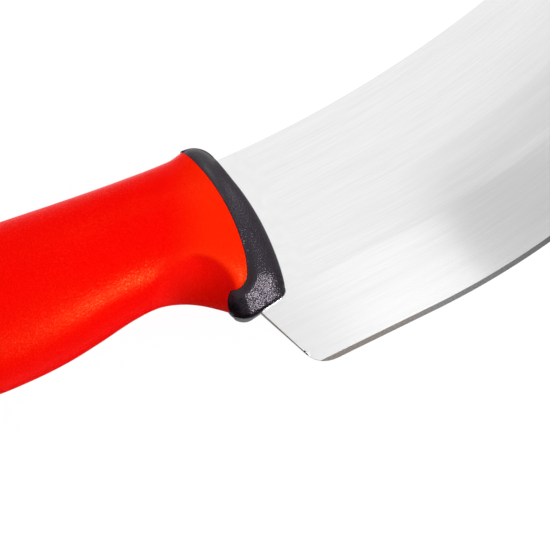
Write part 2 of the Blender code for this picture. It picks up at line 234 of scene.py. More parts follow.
def beside(line: Line, distance: float) -> Line:
    """Move a line sideways.

    Args:
        line: the line.
        distance: how far it moves to its left, or to its right where this is negative.

    Returns:
        The moved line, with as many points.
    """
    points = np.array(line)
    runs = np.gradient(points, axis=0)
    runs /= np.linalg.norm(runs, axis=1, keepdims=True)
    sides = np.stack([-runs[:, 1], runs[:, 0]], axis=1)
    return [tuple(point) for point in points + sides * distance]


def distances(points: np.ndarray, line: Line, closed: bool = False) -> np.ndarray:
    """Measure how far points lie from a line.

    Args:
        points: an array of points, one in each row.
        line: the line's points.
        closed: whether the line's last point joins its first.

    Returns:
        Each point's shortest distance.
    """
    corners = np.array(line + line[:1] if closed else line)
    starts, runs = corners[:-1], np.diff(corners, axis=0)
    squares = (runs ** 2).sum(1)
    nearest = np.full(len(points), np.inf)
    for start, run, square in zip(starts, runs, squares):
        away = points - start
        share = np.clip(away @ run / square, 0.0, 1.0)
        nearest = np.minimum(nearest, ((away - share[:, None] * run) ** 2).sum(1))
    return np.sqrt(nearest)


def inside(points: np.ndarray, outline: Line) -> np.ndarray:
    """Find the points that a closed line holds.

    Args:
        points: an array of points, one in each row.
        outline: the closed line.

    Returns:
        Whether each point lies inside.
    """
    crossed = np.zeros(len(points), int)
    for (x1, y1), (x2, y2) in zip(outline, outline[1:] + outline[:1]):
        spans = (y1 > points[:, 1]) != (y2 > points[:, 1])
        if y1 != y2:
            crossed += spans & (points[:, 0] < x1 + (points[:, 1] - y1) / (y2 - y1) * (x2 - x1))
    return crossed % 2 == 1


def eased(values: np.ndarray | float, low: float, high: float) -> np.ndarray:
    """Return 0 up to the low value and 1 from the high one, with a smooth rise between them."""
    share = np.clip((np.asarray(values, float) - low) / (high - low), 0.0, 1.0)
    return share * share * (3 - 2 * share)


def ramp(values: np.ndarray, bend: float) -> np.ndarray:
    """Return 0 for values below 0 and a straight rise above it, with a bend of the given length."""
    rise = np.clip(values, 0.0, None)
    return np.where(rise < bend, rise ** 2 / (2 * bend), rise - bend / 2)


def rounding_drop(depth: np.ndarray, radius: float) -> np.ndarray:
    """Return how far a rounded edge lies below its face, at a depth in from the edge."""
    share = 1 - np.clip(depth / radius, 0.0, 1.0)
    return radius * (1 - np.sqrt(1 - share ** 2))


@dataclass(frozen=True)
class Profile:
    """A smooth line through a few chosen points, read at any place along X."""

    points: tuple[Point, ...]

    def __call__(self, x: np.ndarray | float) -> np.ndarray:
        """Read the line's height.

        Args:
            x: the places, of which those beyond an end get the end's height.

        Returns:
            The height at each place.
        """
        knots, heights = np.array(self.points).T
        slopes = np.empty_like(heights)
        slopes[1:-1] = (heights[2:] - heights[:-2]) / (knots[2:] - knots[:-2])
        slopes[0] = (heights[1] - heights[0]) / (knots[1] - knots[0])
        slopes[-1] = (heights[-1] - heights[-2]) / (knots[-1] - knots[-2])
        x = np.clip(np.asarray(x, float), knots[0], knots[-1])
        at = np.clip(np.searchsorted(knots, x, side="right") - 1, 0, len(knots) - 2)
        run = knots[at + 1] - knots[at]
        t = (x - knots[at]) / run
        return (
            (2 * t ** 3 - 3 * t ** 2 + 1) * heights[at] + (t ** 3 - 2 * t ** 2 + t) * run * slopes[at]
            + (3 * t ** 2 - 2 * t ** 3) * heights[at + 1] + (t ** 3 - t ** 2) * run * slopes[at + 1]
        )


# Node trees


class Signal:
    """One output socket of a node tree, with arithmetic that adds Math nodes."""

    def __init__(self, board: "Board", socket: bpy.types.NodeSocket) -> None:
        """Keep the socket and the board that it belongs to."""
        self.board = board
        self.socket = socket

    def other(self, output: int | str) -> "Signal":
        """Return another output of the same node."""
        return Signal(self.board, self.socket.node.outputs[output])

    def _math(self, operation: str, *values: "Signal | float") -> "Signal":
        """Add a Math node on the values."""
        return self.board.add("ShaderNodeMath", {"operation": operation}, dict(enumerate(values)))

    def __add__(self, other: "Signal | float") -> "Signal":
        """Return the sum."""
        return self._math("ADD", self, other)

    def __radd__(self, other: float) -> "Signal":
        """Return the sum."""
        return self._math("ADD", other, self)

    def __sub__(self, other: "Signal | float") -> "Signal":
        """Return the difference."""
        return self._math("SUBTRACT", self, other)

    def __rsub__(self, other: float) -> "Signal":
        """Return the difference from a number."""
        return self._math("SUBTRACT", other, self)

    def __mul__(self, other: "Signal | float") -> "Signal":
        """Return the product."""
        return self._math("MULTIPLY", self, other)

    def __rmul__(self, other: float) -> "Signal":
        """Return the product."""
        return self._math("MULTIPLY", other, self)

    def __truediv__(self, other: "Signal | float") -> "Signal":
        """Return the quotient."""
        return self._math("DIVIDE", self, other)

    def __rtruediv__(self, other: float) -> "Signal":
        """Return the quotient of a number by this."""
        return self._math("DIVIDE", other, self)

    def at_most(self, limit: "Signal | float") -> "Signal":
        """Return the smaller of this and the limit."""
        return self._math("MINIMUM", self, limit)

    def at_least(self, limit: "Signal | float") -> "Signal":
        """Return the larger of this and the limit."""
        return self._math("MAXIMUM", self, limit)

    def size(self) -> "Signal":
        """Return the value without its sign."""
        return self._math("ABSOLUTE", self)

    def swing(self) -> "Signal":
        """Return how far a noise pattern is above or below its middle."""
        return self - NOISE_MIDDLE

    def root(self) -> "Signal":
        """Return the square root."""
        return self._math("SQRT", self)

    def eased(self, low: float, high: float) -> "Signal":
        """Return 0 up to the low value and 1 from the high one, with a smooth rise between."""
        inputs = {"Value": self, "From Min": low, "From Max": high}
        return self.board.add("ShaderNodeMapRange", {"interpolation_type": "SMOOTHSTEP"}, inputs)


class Board:
    """A node tree that is being wired, for a material or for Geometry Nodes."""

    def __init__(self, tree: bpy.types.NodeTree) -> None:
        """Keep the tree."""
        self.tree = tree

    def add(
        self,
        kind: str,
        settings: dict[str, object] | None = None,
        inputs: dict[int | str, object] | None = None,
        output: int | str | None = 0,
    ) -> Signal | None:
        """Add one node.

        Args:
            kind: the node's type.
            settings: its properties, set before its inputs.
            inputs: the values or signals of its sockets, by name or place.
            output: the output that is returned.

        Returns:
            The chosen output, or nothing if the output is None.
        """
        node = self.tree.nodes.new(kind)
        for name, value in (settings or {}).items():
            setattr(node, name, value)
        for key, value in (inputs or {}).items():
            if isinstance(value, Signal):
                self.tree.links.new(value.socket, node.inputs[key])
            else:
                node.inputs[key].default_value = value
        return Signal(self, node.outputs[output]) if output is not None else None

    def join(self, x: Signal | float, y: Signal | float, z: Signal | float) -> Signal:
        """Return a vector of three values."""
        return self.add("ShaderNodeCombineXYZ", inputs={0: x, 1: y, 2: z})

    def split(self, vector: Signal) -> tuple[Signal, Signal, Signal]:
        """Return a vector's three values."""
        x = self.add("ShaderNodeSeparateXYZ", inputs={0: vector})
        return x, x.other(1), x.other(2)

    def scaled(self, vector: Signal, scale: float) -> Signal:
        """Return a vector multiplied by a number."""
        return self.add("ShaderNodeVectorMath", {"operation": "MULTIPLY"}, {0: vector, 1: (scale,) * 3})

    def attribute(self, name: str, output: str) -> Signal:
        """Return a mesh attribute that a material reads."""
        return self.add("ShaderNodeAttribute", {"attribute_name": name}, output=output)

    def noise(self, vector: Signal, detail: float = 2.0, roughness: float = 0.5) -> Signal:
        """Return a noise pattern from 0 to 1 at the places that the vector gives."""
        inputs = {"Vector": vector, "Scale": 1.0, "Detail": detail, "Roughness": roughness}
        return self.add("ShaderNodeTexNoise", inputs=inputs)

    def mixed(self, share: Signal, first: Signal | Colour, second: Signal | Colour) -> Signal:
        """Mix two colours.

        Args:
            share: the second colour's share.
            first: one colour.
            second: the other.

        Returns:
            The mixed colour.
        """
        inputs = {0: share}
        for socket, colour in zip(MIX_COLOURS, (first, second)):
            inputs[socket] = colour if isinstance(colour, Signal) else (*colour, 1.0)
        return self.add("ShaderNodeMix", {"data_type": "RGBA"}, inputs, MIXED_COLOUR)

    def bump(self, height: Signal, strength: float) -> Signal:
        """Return the normal of a relief whose height is in mm."""
        return self.add("ShaderNodeBump", inputs={"Strength": strength, "Distance": MM, "Height": height})


def wired_material(name: str, surface: Callable[[Board], Signal]) -> bpy.types.Material:
    """Make a material.

    Args:
        name: its name.
        surface: wires its nodes and returns its shader.

    Returns:
        The material.
    """
    made = bpy.data.materials.new(name)
    made.use_nodes = True
    made.node_tree.nodes.clear()
    board = Board(made.node_tree)
    board.add("ShaderNodeOutputMaterial", inputs={"Surface": surface(board)}, output=None)
    return made


@dataclass(frozen=True)
class Finish:
    """A surface finish that makes its material once."""

    name: str

    def material(self) -> bpy.types.Material:
        """Return the finish's material, made on the first call."""
        return bpy.data.materials.get(self.name) or wired_material(self.name, self.surface)

    def surface(self, board: Board) -> Signal:
        """Wire the surface and return its shader."""
        raise NotImplementedError


@dataclass(frozen=True)
class Streaks:
    """A noise that is drawn out along one direction. Sizes in mm."""

    length: float
    width: float
    detail: float = 2.0
    roughness: float = 0.5
    shift: float = 0.0

    def wired(self, board: Board, along: Signal, across: Signal, side: Signal) -> Signal:
        """Return the noise at a place along and across the streaks, on one side of the blade."""
        place = board.join(along / self.length, across / self.width, side + self.shift)
        return board.noise(place, self.detail, self.roughness)


@dataclass(frozen=True)
class SatinSteel(Finish):
    """Belt-ground stainless steel, with its lines along the blade and a mottled root.

    Sizes in mm. A span says between which two places something rises or fades.
    """

    tone: Colour = (0.845, 0.845, 0.85)
    line_tone: Colour = (0.782, 0.782, 0.788)
    contrast: Span = (0.25, 0.75)
    roughness: float = 0.21
    line_roughness: float = 0.04
    relief_strength: float = 0.35
    # The grinding lines of the flat and the ground face
    fine_lines: Streaks = Streaks(14.0, 0.30, 3.0, 0.6)
    broad_lines: Streaks = Streaks(45.0, 1.6, shift=7.0)
    fine_share: float = 0.62
    line_relief: float = 0.0015
    ground_tone: Colour = (0.86, 0.86, 0.86)
    ground_line_share: float = 0.94
    ground_fade: float = 0.2
    # The unground root ahead of the collar
    blotches: Streaks = Streaks(2.6, 2.6, 4.0, 0.6)
    blotch_contrast: float = 0.6
    blotch_relief: float = 0.003
    front_centre: Point = (-60.0, -10.0)
    front_radius: float = 60.0
    root_length: float = 5.6
    root_fade: float = 1.5
    root_waver: float = 6.0
    # The pale streak just above the grind, and the faint edge of the belt's path
    streak_tone: Colour = (0.95, 0.945, 0.95)
    streak_share: float = 0.5
    streak_top: Span = (1.2, 3.6)
    streak_start: Span = (30.0, 58.0)
    belt_share: float = 0.04
    belt_top: Span = (11.9, 12.4)
    belt_start: Span = (26.0, 50.0)
    # The cutting bevel, which is darker and browner at the heel's corner
    bevel_tone: Colour = (0.34, 0.34, 0.345)
    corner_tone: Colour = (0.36, 0.32, 0.295)
    corner_end: Span = (15.0, 35.0)
    scratches: Streaks = Streaks(0.25, 0.9)
    scratch_share: float = 0.4
    bevel_roughness: float = -0.02
    bevel_fade: Span = (-0.06, 0.02)
    # The heel's narrow wall: a rough stamped face, its colour painted with shade, darker towards the collar
    # and paler towards the edge
    shaded_wall_tone: Colour = (0.66, 0.61, 0.57)
    low_wall_tone: Colour = (0.96, 0.94, 0.93)
    wall_heights: Span = (-33.0, -24.0)
    wall_fade: Span = (0.02, 0.3)

    def surface(self, board: Board) -> Signal:
        """Wire the steel.

        Args:
            board: the material's nodes.

        Returns:
            The shader.
        """
        along, across, side = board.split(board.attribute("grain", "Vector"))
        depth = board.attribute("depth", "Fac")
        x, y, _ = board.split(Placement.local(board))
        fine = self.fine_lines.wired(board, along, across, side)
        broad = self.broad_lines.wired(board, along, across, side)
        lines = fine * self.fine_share + broad * (1 - self.fine_share)
        blotches = self.blotches.wired(board, x, y, side)

        ground = 1.0 - depth.eased(GRIND_WIDTH - self.ground_fade, GRIND_WIDTH + self.ground_fade)
        root = self.root(x, y, blotches) * (1.0 - ground)
        bevel = 1.0 - depth.eased(BEVEL_WIDTH + self.bevel_fade[0], BEVEL_WIDTH + self.bevel_fade[1])
        mottle = blotches * self.blotch_contrast + (1 - self.blotch_contrast) / 2
        share = (lines * (1.0 - root) + mottle * root).eased(*self.contrast)

        colour = self.flat_colour(board, share, along, depth - GRIND_WIDTH)
        ground_line = tuple(channel * self.ground_line_share for channel in self.ground_tone)
        colour = board.mixed(ground, colour, board.mixed(share, ground_line, self.ground_tone))
        scratches = self.scratches.wired(board, along, across, side)
        bevel_colour = board.mixed(along.eased(*self.corner_end), self.corner_tone, self.bevel_tone)
        colour = board.mixed(bevel, colour, board.mixed(scratches * self.scratch_share, bevel_colour, BLACK))
        wall = board.attribute("wall", "Fac").eased(*self.wall_fade)
        # Painted shade: the wall is darker towards the collar and paler towards the edge
        shaded_wall_colour = board.mixed(y.eased(*self.wall_heights), self.low_wall_tone, self.shaded_wall_tone)
        colour = board.mixed(wall, colour, shaded_wall_colour)

        roughness = self.roughness + lines.swing() * self.line_roughness + bevel * self.bevel_roughness
        height = fine * self.line_relief * (1.0 - root) + blotches * self.blotch_relief * root
        normal = board.bump(height, self.relief_strength)
        inputs = {"Base Color": colour, "Metallic": 1.0, "Roughness": roughness, "Normal": normal}
        return board.add("ShaderNodeBsdfPrincipled", inputs=inputs)

    def root(self, x: Signal, y: Signal, blotches: Signal) -> Signal:
        """Find the root, whose end wavers ahead of the collar.

        Args:
            x: the place along X.
            y: the place along Y.
            blotches: the noise that makes the root's end waver.

        Returns:
            1 on the root and 0 ahead of it.
        """
        away_x, away_y = x - self.front_centre[0], y - self.front_centre[1]
        ahead = (away_x * away_x + away_y * away_y).root() - self.front_radius
        wavering = ahead + blotches.swing() * self.root_waver
        return 1.0 - wavering.eased(self.root_length - self.root_fade, self.root_length + self.root_fade)

    def flat_colour(self, board: Board, share: Signal, along: Signal, above: Signal) -> Signal:
        """Colour the flat above the grind.

        Args:
            board: the material's nodes.
            share: the lines' pattern.
            along: how far along the edge a place is.
            above: how far above the grind it is.

        Returns:
            The colour.
        """
        colour = board.mixed(share, self.line_tone, self.tone)
        streak = (1.0 - above.eased(*self.streak_top)) * along.eased(*self.streak_start)
        colour = board.mixed(streak * self.streak_share * share, colour, self.streak_tone)
        belt = (1.0 - above.eased(*self.belt_top)) * along.eased(*self.belt_start)
        return board.mixed(belt * self.belt_share, colour, BLACK)


@dataclass(frozen=True, kw_only=True)
class SparkPlastic(Finish):
    """Moulded plastic with a spark-eroded mould's fine, even grain of pits and tips. Sizes in mm."""

    tone: Colour
    pit_tone: Colour
    tint: Colour
    gloss: float
    tip_gloss: float
    roughness: float
    grain: float
    relief: float
    pits: Span = (0.30, 0.70)
    tips: Span = (0.52, 0.64)
    cloud_size: float = 9.0
    cloud_roughness: float = 0.10
    parting_width: Span = (0.06, 0.16)
    parting_relief: float = 0.05

    def surface(self, board: Board) -> Signal:
        """Wire the plastic.

        Args:
            board: the material's nodes.

        Returns:
            The shader.
        """
        place = Placement.local(board)
        fine = board.noise(board.scaled(place, 1 / self.grain), detail=1.0)
        clouds = board.noise(board.scaled(place, 1 / self.cloud_size))
        colour = board.mixed(fine.eased(*self.pits), self.pit_tone, self.tone)
        roughness = self.roughness + clouds.swing() * self.cloud_roughness
        colour, roughness = self.painted_light_and_dulling(board, place, colour, roughness)
        _, _, z = board.split(place)
        parting = 1.0 - z.size().eased(*self.parting_width)
        inputs = {
            "Base Color": colour,
            "Roughness": roughness,
            "Normal": board.bump(fine * self.relief + parting * self.parting_relief, strength=1.0),
            "Specular IOR Level": self.gloss,
            "Specular Tint": (*self.tint, 1.0),
        }
        plain = board.add("ShaderNodeBsdfPrincipled", inputs=inputs)
        inputs |= {"Specular IOR Level": self.tip_gloss}
        bright = board.add("ShaderNodeBsdfPrincipled", inputs=inputs)
        return board.add("ShaderNodeMixShader", inputs={0: fine.eased(*self.tips), 1: plain, 2: bright})

    def painted_light_and_dulling(self, board: Board, place: Signal, colour: Signal, roughness: Signal) -> tuple[Signal, Signal]:
        """Return the colour with its painted light and the roughness with its dulling, of which plain
        plastic has none.
        """
        return colour, roughness


@dataclass(frozen=True, kw_only=True)
class GripPlastic(SparkPlastic):
    """The grip's plastic, paler towards the collar with a painted sheen and darker in the scoop with painted
    shade.

    Its spans are read ahead along one direction and down along another, in mm, or for the scoop's
    edge and the dull patch as shares of the scoop's own reach.
    """

    form: "HandleForm"
    # Painted sheen, paler and more orange towards the collar
    sheen_tone: Colour
    # Painted shade in the scoop
    scoop_shade_tone: Colour
    ahead: Point = (0.934, -0.358)
    down: Point = (-0.358, -0.934)
    scoop_edge: Span = (0.90, 1.06)
    shade_ahead: Span = (-22.0, -14.4)
    shade_down: Span = (12.4, 20.7)
    sheen_ahead: Span = (-21.0, -10.0)
    dulling: float = 0.28
    dull_edge: Span = (1.02, 1.2)
    dull_ahead: Span = (-23.5, -20.0)
    palm_dulling: float = 0.11
    palm_ahead: Span = (-47.0, -33.0)

    def painted_light_and_dulling(self, board: Board, place: Signal, colour: Signal, roughness: Signal) -> tuple[Signal, Signal]:
        """Add the painted sheen towards the collar, the painted shade in the scoop and the duller places.

        Args:
            board: the material's nodes.
            place: the place in mm about the datum.
            colour: the plain plastic's colour.
            roughness: its roughness.

        Returns:
            The grip's colour and roughness.
        """
        form = self.form
        x, y, _ = board.split(place)
        ahead = x * self.ahead[0] + y * self.ahead[1]
        down = x * self.down[0] + y * self.down[1]
        along = x - form.scoop_centre[0]
        along = along.at_least(0.0) / form.scoop_ahead + along.at_most(0.0) / form.scoop_behind
        above = (y - form.scoop_centre[1]) / form.scoop_above
        reach = (along * along + above * above).root()
        outside = reach.eased(*self.scoop_edge)
        # Painted sheen towards the collar, outside the scoop
        colour = board.mixed(outside * ahead.eased(*self.sheen_ahead), colour, self.sheen_tone)
        # Painted shade, darker down into the scoop
        scoop = (1.0 - outside) * ahead.eased(*self.shade_ahead) * down.eased(*self.shade_down)
        dull = (1.0 - reach.eased(*self.dull_edge)) * ahead.eased(*self.dull_ahead) * self.dulling
        palm = (1.0 - ahead.eased(*self.palm_ahead)) * self.palm_dulling
        return board.mixed(scoop, colour, self.scoop_shade_tone), roughness + dull + palm


class Placement:
    """Puts shapes in millimetres about the datum into the frame, in metres."""

    # The core's topmost point above the datum
    collar_top: float = 17.39
    # Meshes end a hair smaller than drawn, so that their curves keep within the solids' flat facets
    facet_allowance: float = 0.9991

    @classmethod
    def datum(cls) -> Vector:
        """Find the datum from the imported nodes.

        Returns:
            Its place in the frame.
        """
        _, core_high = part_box("handle_core")
        blade_low, blade_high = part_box("blade")
        middle = (blade_low.z + blade_high.z) / 2
        return Vector((core_high.x, core_high.y - cls.collar_top * MM, middle))

    @classmethod
    def mesh(cls, mesh: bpy.types.Mesh) -> bpy.types.Mesh:
        """Turn a mesh in millimetres about the datum into one in the frame, and return it."""
        mesh.transform(Matrix.Translation(cls.datum()) @ Matrix.Scale(MM * cls.facet_allowance, 4))
        return mesh

    @classmethod
    def local(cls, board: Board) -> Signal:
        """Wire the place that a shader is at.

        Args:
            board: the material's nodes.

        Returns:
            The place, in mm about the datum.
        """
        place = board.add("ShaderNodeTexCoord", output="Object")
        moved = board.add("ShaderNodeVectorMath", {"operation": "SUBTRACT"}, {0: place, 1: cls.datum()})
        return board.scaled(moved, 1 / MM)


# Meshes


def plain_mesh(name: str, points: Sequence, faces: Sequence) -> bpy.types.Mesh:
    """Make a mesh that is shaded smooth apart from its sharp edges.

    Args:
        name: its name.
        points: its corners.
        faces: each face's corners, by number.

    Returns:
        The mesh, with its faces outwards.
    """
    mesh = bpy.data.meshes.new(name)
    mesh.from_pydata([tuple(point) for point in points], [], faces)
    mesh.update()
    shape = bmesh.new()
    shape.from_mesh(mesh)
    bmesh.ops.recalc_face_normals(shape, faces=shape.faces)
    shape.to_mesh(mesh)
    shape.free()
    mesh.shade_smooth()
    mesh.set_sharp_from_angle(angle=SHARP_ANGLE)
    return mesh


def sheet_triangles(
    outline: Line,
    holes: Sequence[Line],
    folds: Sequence[Line],
    points: np.ndarray | None,
) -> tuple[np.ndarray, np.ndarray]:
    """Cover the inside of an outline with triangles.

    Args:
        outline: the closed line round them.
        holes: closed lines that are left free.
        folds: open lines that become edges.
        points: more corners, one in each row.

    Returns:
        The corners, one in each row, and each triangle's three corners by number.
    """
    places: list[Vector] = []
    edges: list[tuple[int, int]] = []
    for line, closed in [(line, True) for line in (outline, *holes)] + [(line, False) for line in folds]:
        first = len(places)
        places += [Vector(point) for point in line]
        edges += [(first + index, first + index + 1) for index in range(len(line) - 1)]
        if closed:
            edges.append((first + len(line) - 1, first))
    if points is not None:
        places += [Vector(point) for point in points[inside(points, outline)]]
    corners, _, triangles, *_ = delaunay_2d_cdt(places, edges, [], KEEP_INSIDE, MERGE_DISTANCE)
    corners = np.array([tuple(corner) for corner in corners])
    triangles = np.array(triangles)
    middles = corners[triangles].mean(1)
    for hole in holes:
        kept = ~inside(middles, hole)
        triangles, middles = triangles[kept], middles[kept]
    used = np.unique(triangles)
    renumbered = np.zeros(len(corners), int)
    renumbered[used] = np.arange(len(used))
    return corners[used], renumbered[triangles]


def double_sheet(
    name: str,
    outline: Line,
    half_height: Callable[[np.ndarray], np.ndarray],
    holes: Sequence[Line] = (),
    folds: Sequence[Line] = (),
    points: np.ndarray | None = None,
) -> bpy.types.Mesh:
    """Make a closed solid that is mirrored about Z = 0, from an outline and a height rule.

    Args:
        name: the mesh's name.
        outline: the solid's outline, a closed line.
        half_height: gives the height above Z = 0 of each row of an array of points.
        holes: the outlines of holes through the solid.
        folds: open lines that become edges of the faces.
        points: more points for the faces, one in each row.

    Returns:
        The mesh, whose attribute "side" is 1 above Z = 0 and -1 below it.
    """
    corners, triangles = sheet_triangles(outline, holes, folds, points)
    heights = half_height(corners)
    count = len(corners)
    upper = np.column_stack([corners, heights])
    lower = np.column_stack([corners, -heights])
    directed = {pair for ends in triangles.tolist() for pair in zip(ends, ends[1:] + ends[:1])}
    rim = [(b, a, a + count, b + count) for a, b in directed if (b, a) not in directed]
    faces = triangles.tolist() + (triangles[:, ::-1] + count).tolist() + sorted(rim)
    mesh = plain_mesh(name, np.vstack([upper, lower]), faces)
    side = mesh.attributes.new("side", "FLOAT", "POINT")
    side.data.foreach_set("value", np.repeat([1.0, -1.0], count).astype(np.float32))
    return mesh


def ring_faces(rows: Sequence[tuple[int, int]], count: int) -> list[tuple[int, ...]]:
    """Return the faces between rows of points.

    Args:
        rows: the pairs of rows that faces join.
        count: how many points each row has, of which the last joins the first.

    Returns:
        Each face's corners, by number.
    """
    faces = []
    for first, second in rows:
        for index in range(count):
            after = (index + 1) % count
            start, end = first * count, second * count
            faces.append((start + index, start + after, end + after, end + index))
    return faces


def loft(name: str, rings: Sequence[np.ndarray], closed: bool = False) -> bpy.types.Mesh:
    """Skin a row of rings as one closed solid.

    Args:
        name: the mesh's name.
        rings: arrays of points; the second half of each mirrors its first half about Z = 0.
        closed: whether the last ring joins the first, as in a sleeve; otherwise both ends get caps.

    Returns:
        The mesh.
    """
    count = len(rings[0])
    pairs = [(row, row + 1) for row in range(len(rings) - 1)]
    if closed:
        pairs.append((len(rings) - 1, 0))
    faces = ring_faces(pairs, count)
    if not closed:
        for row in (0, len(rings) - 1):
            for index in range(count // 2 - 1):
                last = count - 1 - index
                faces.append(tuple(row * count + at for at in (index, index + 1, last - 1, last)))
    return plain_mesh(name, np.vstack(rings), faces)


class Cut(Enum):
    """What a cutter does to a piece."""

    ADDED = "UNION"
    TAKEN_AWAY = "DIFFERENCE"


def cut(base: bpy.types.Object, steps: Sequence[tuple[bpy.types.Object, Cut]]) -> None:
    """Add cutters to a piece or take them away from it, and remove them.

    Args:
        base: the piece.
        steps: each cutter and what it does.
    """
    for cutter, effect in steps:
        step = base.modifiers.new(cutter.name, "BOOLEAN")
        step.operation = effect.value
        step.solver = "EXACT"
        step.object = cutter
    baked(base)
    for cutter, _ in steps:
        bpy.data.objects.remove(cutter, do_unlink=True)


def baked(piece: bpy.types.Object) -> None:
    """Replace a piece's mesh by what its modifiers make of it, and remove them.

    Args:
        piece: the piece's object.
    """
    depsgraph = bpy.context.evaluated_depsgraph_get()
    evaluated = piece.evaluated_get(depsgraph)
    mesh = bpy.data.meshes.new_from_object(evaluated, preserve_all_data_layers=True, depsgraph=depsgraph)
    piece.modifiers.clear()
    piece.data = mesh


def new_object(name: str, data: bpy.types.ID) -> bpy.types.Object:
    """Make an object and link it to the scene.

    Args:
        name: its name.
        data: its mesh, lamp or camera.

    Returns:
        The object, at the origin.
    """
    made = bpy.data.objects.new(name, data)
    bpy.context.scene.collection.objects.link(made)
    return made


def thread_object(name: str, line: Line) -> bpy.types.Object:
    """Make a line of points into an object of edges, for the grinding to measure from.

    Args:
        name: its name.
        line: the line.

    Returns:
        The object.
    """
    mesh = bpy.data.meshes.new(name)
    edges = [(index, index + 1) for index in range(len(line) - 1)]
    mesh.from_pydata([(x, y, 0.0) for x, y in line], edges, [])
    return new_object(name, mesh)


# The knife


@dataclass
class Piece:
    """One physical piece of the knife."""

    name: str
    node: str
    slot: str
    finish: Finish

    def shape(self) -> bpy.types.Object:
        """Make the piece's object, in millimetres about the datum."""
        raise NotImplementedError

    def build(self) -> None:
        """Make, place and dress the piece, and let it stand for its node."""
        made = self.shape()
        Placement.mesh(made.data)
        made.data.name = self.name
        made.data.materials.clear()
        made.data.materials.append(self.finish.material())
        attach(made, "root")
        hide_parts(self.node)
        log.info("%s: %d vertices, %d faces", made.name, len(made.data.vertices), len(made.data.polygons))


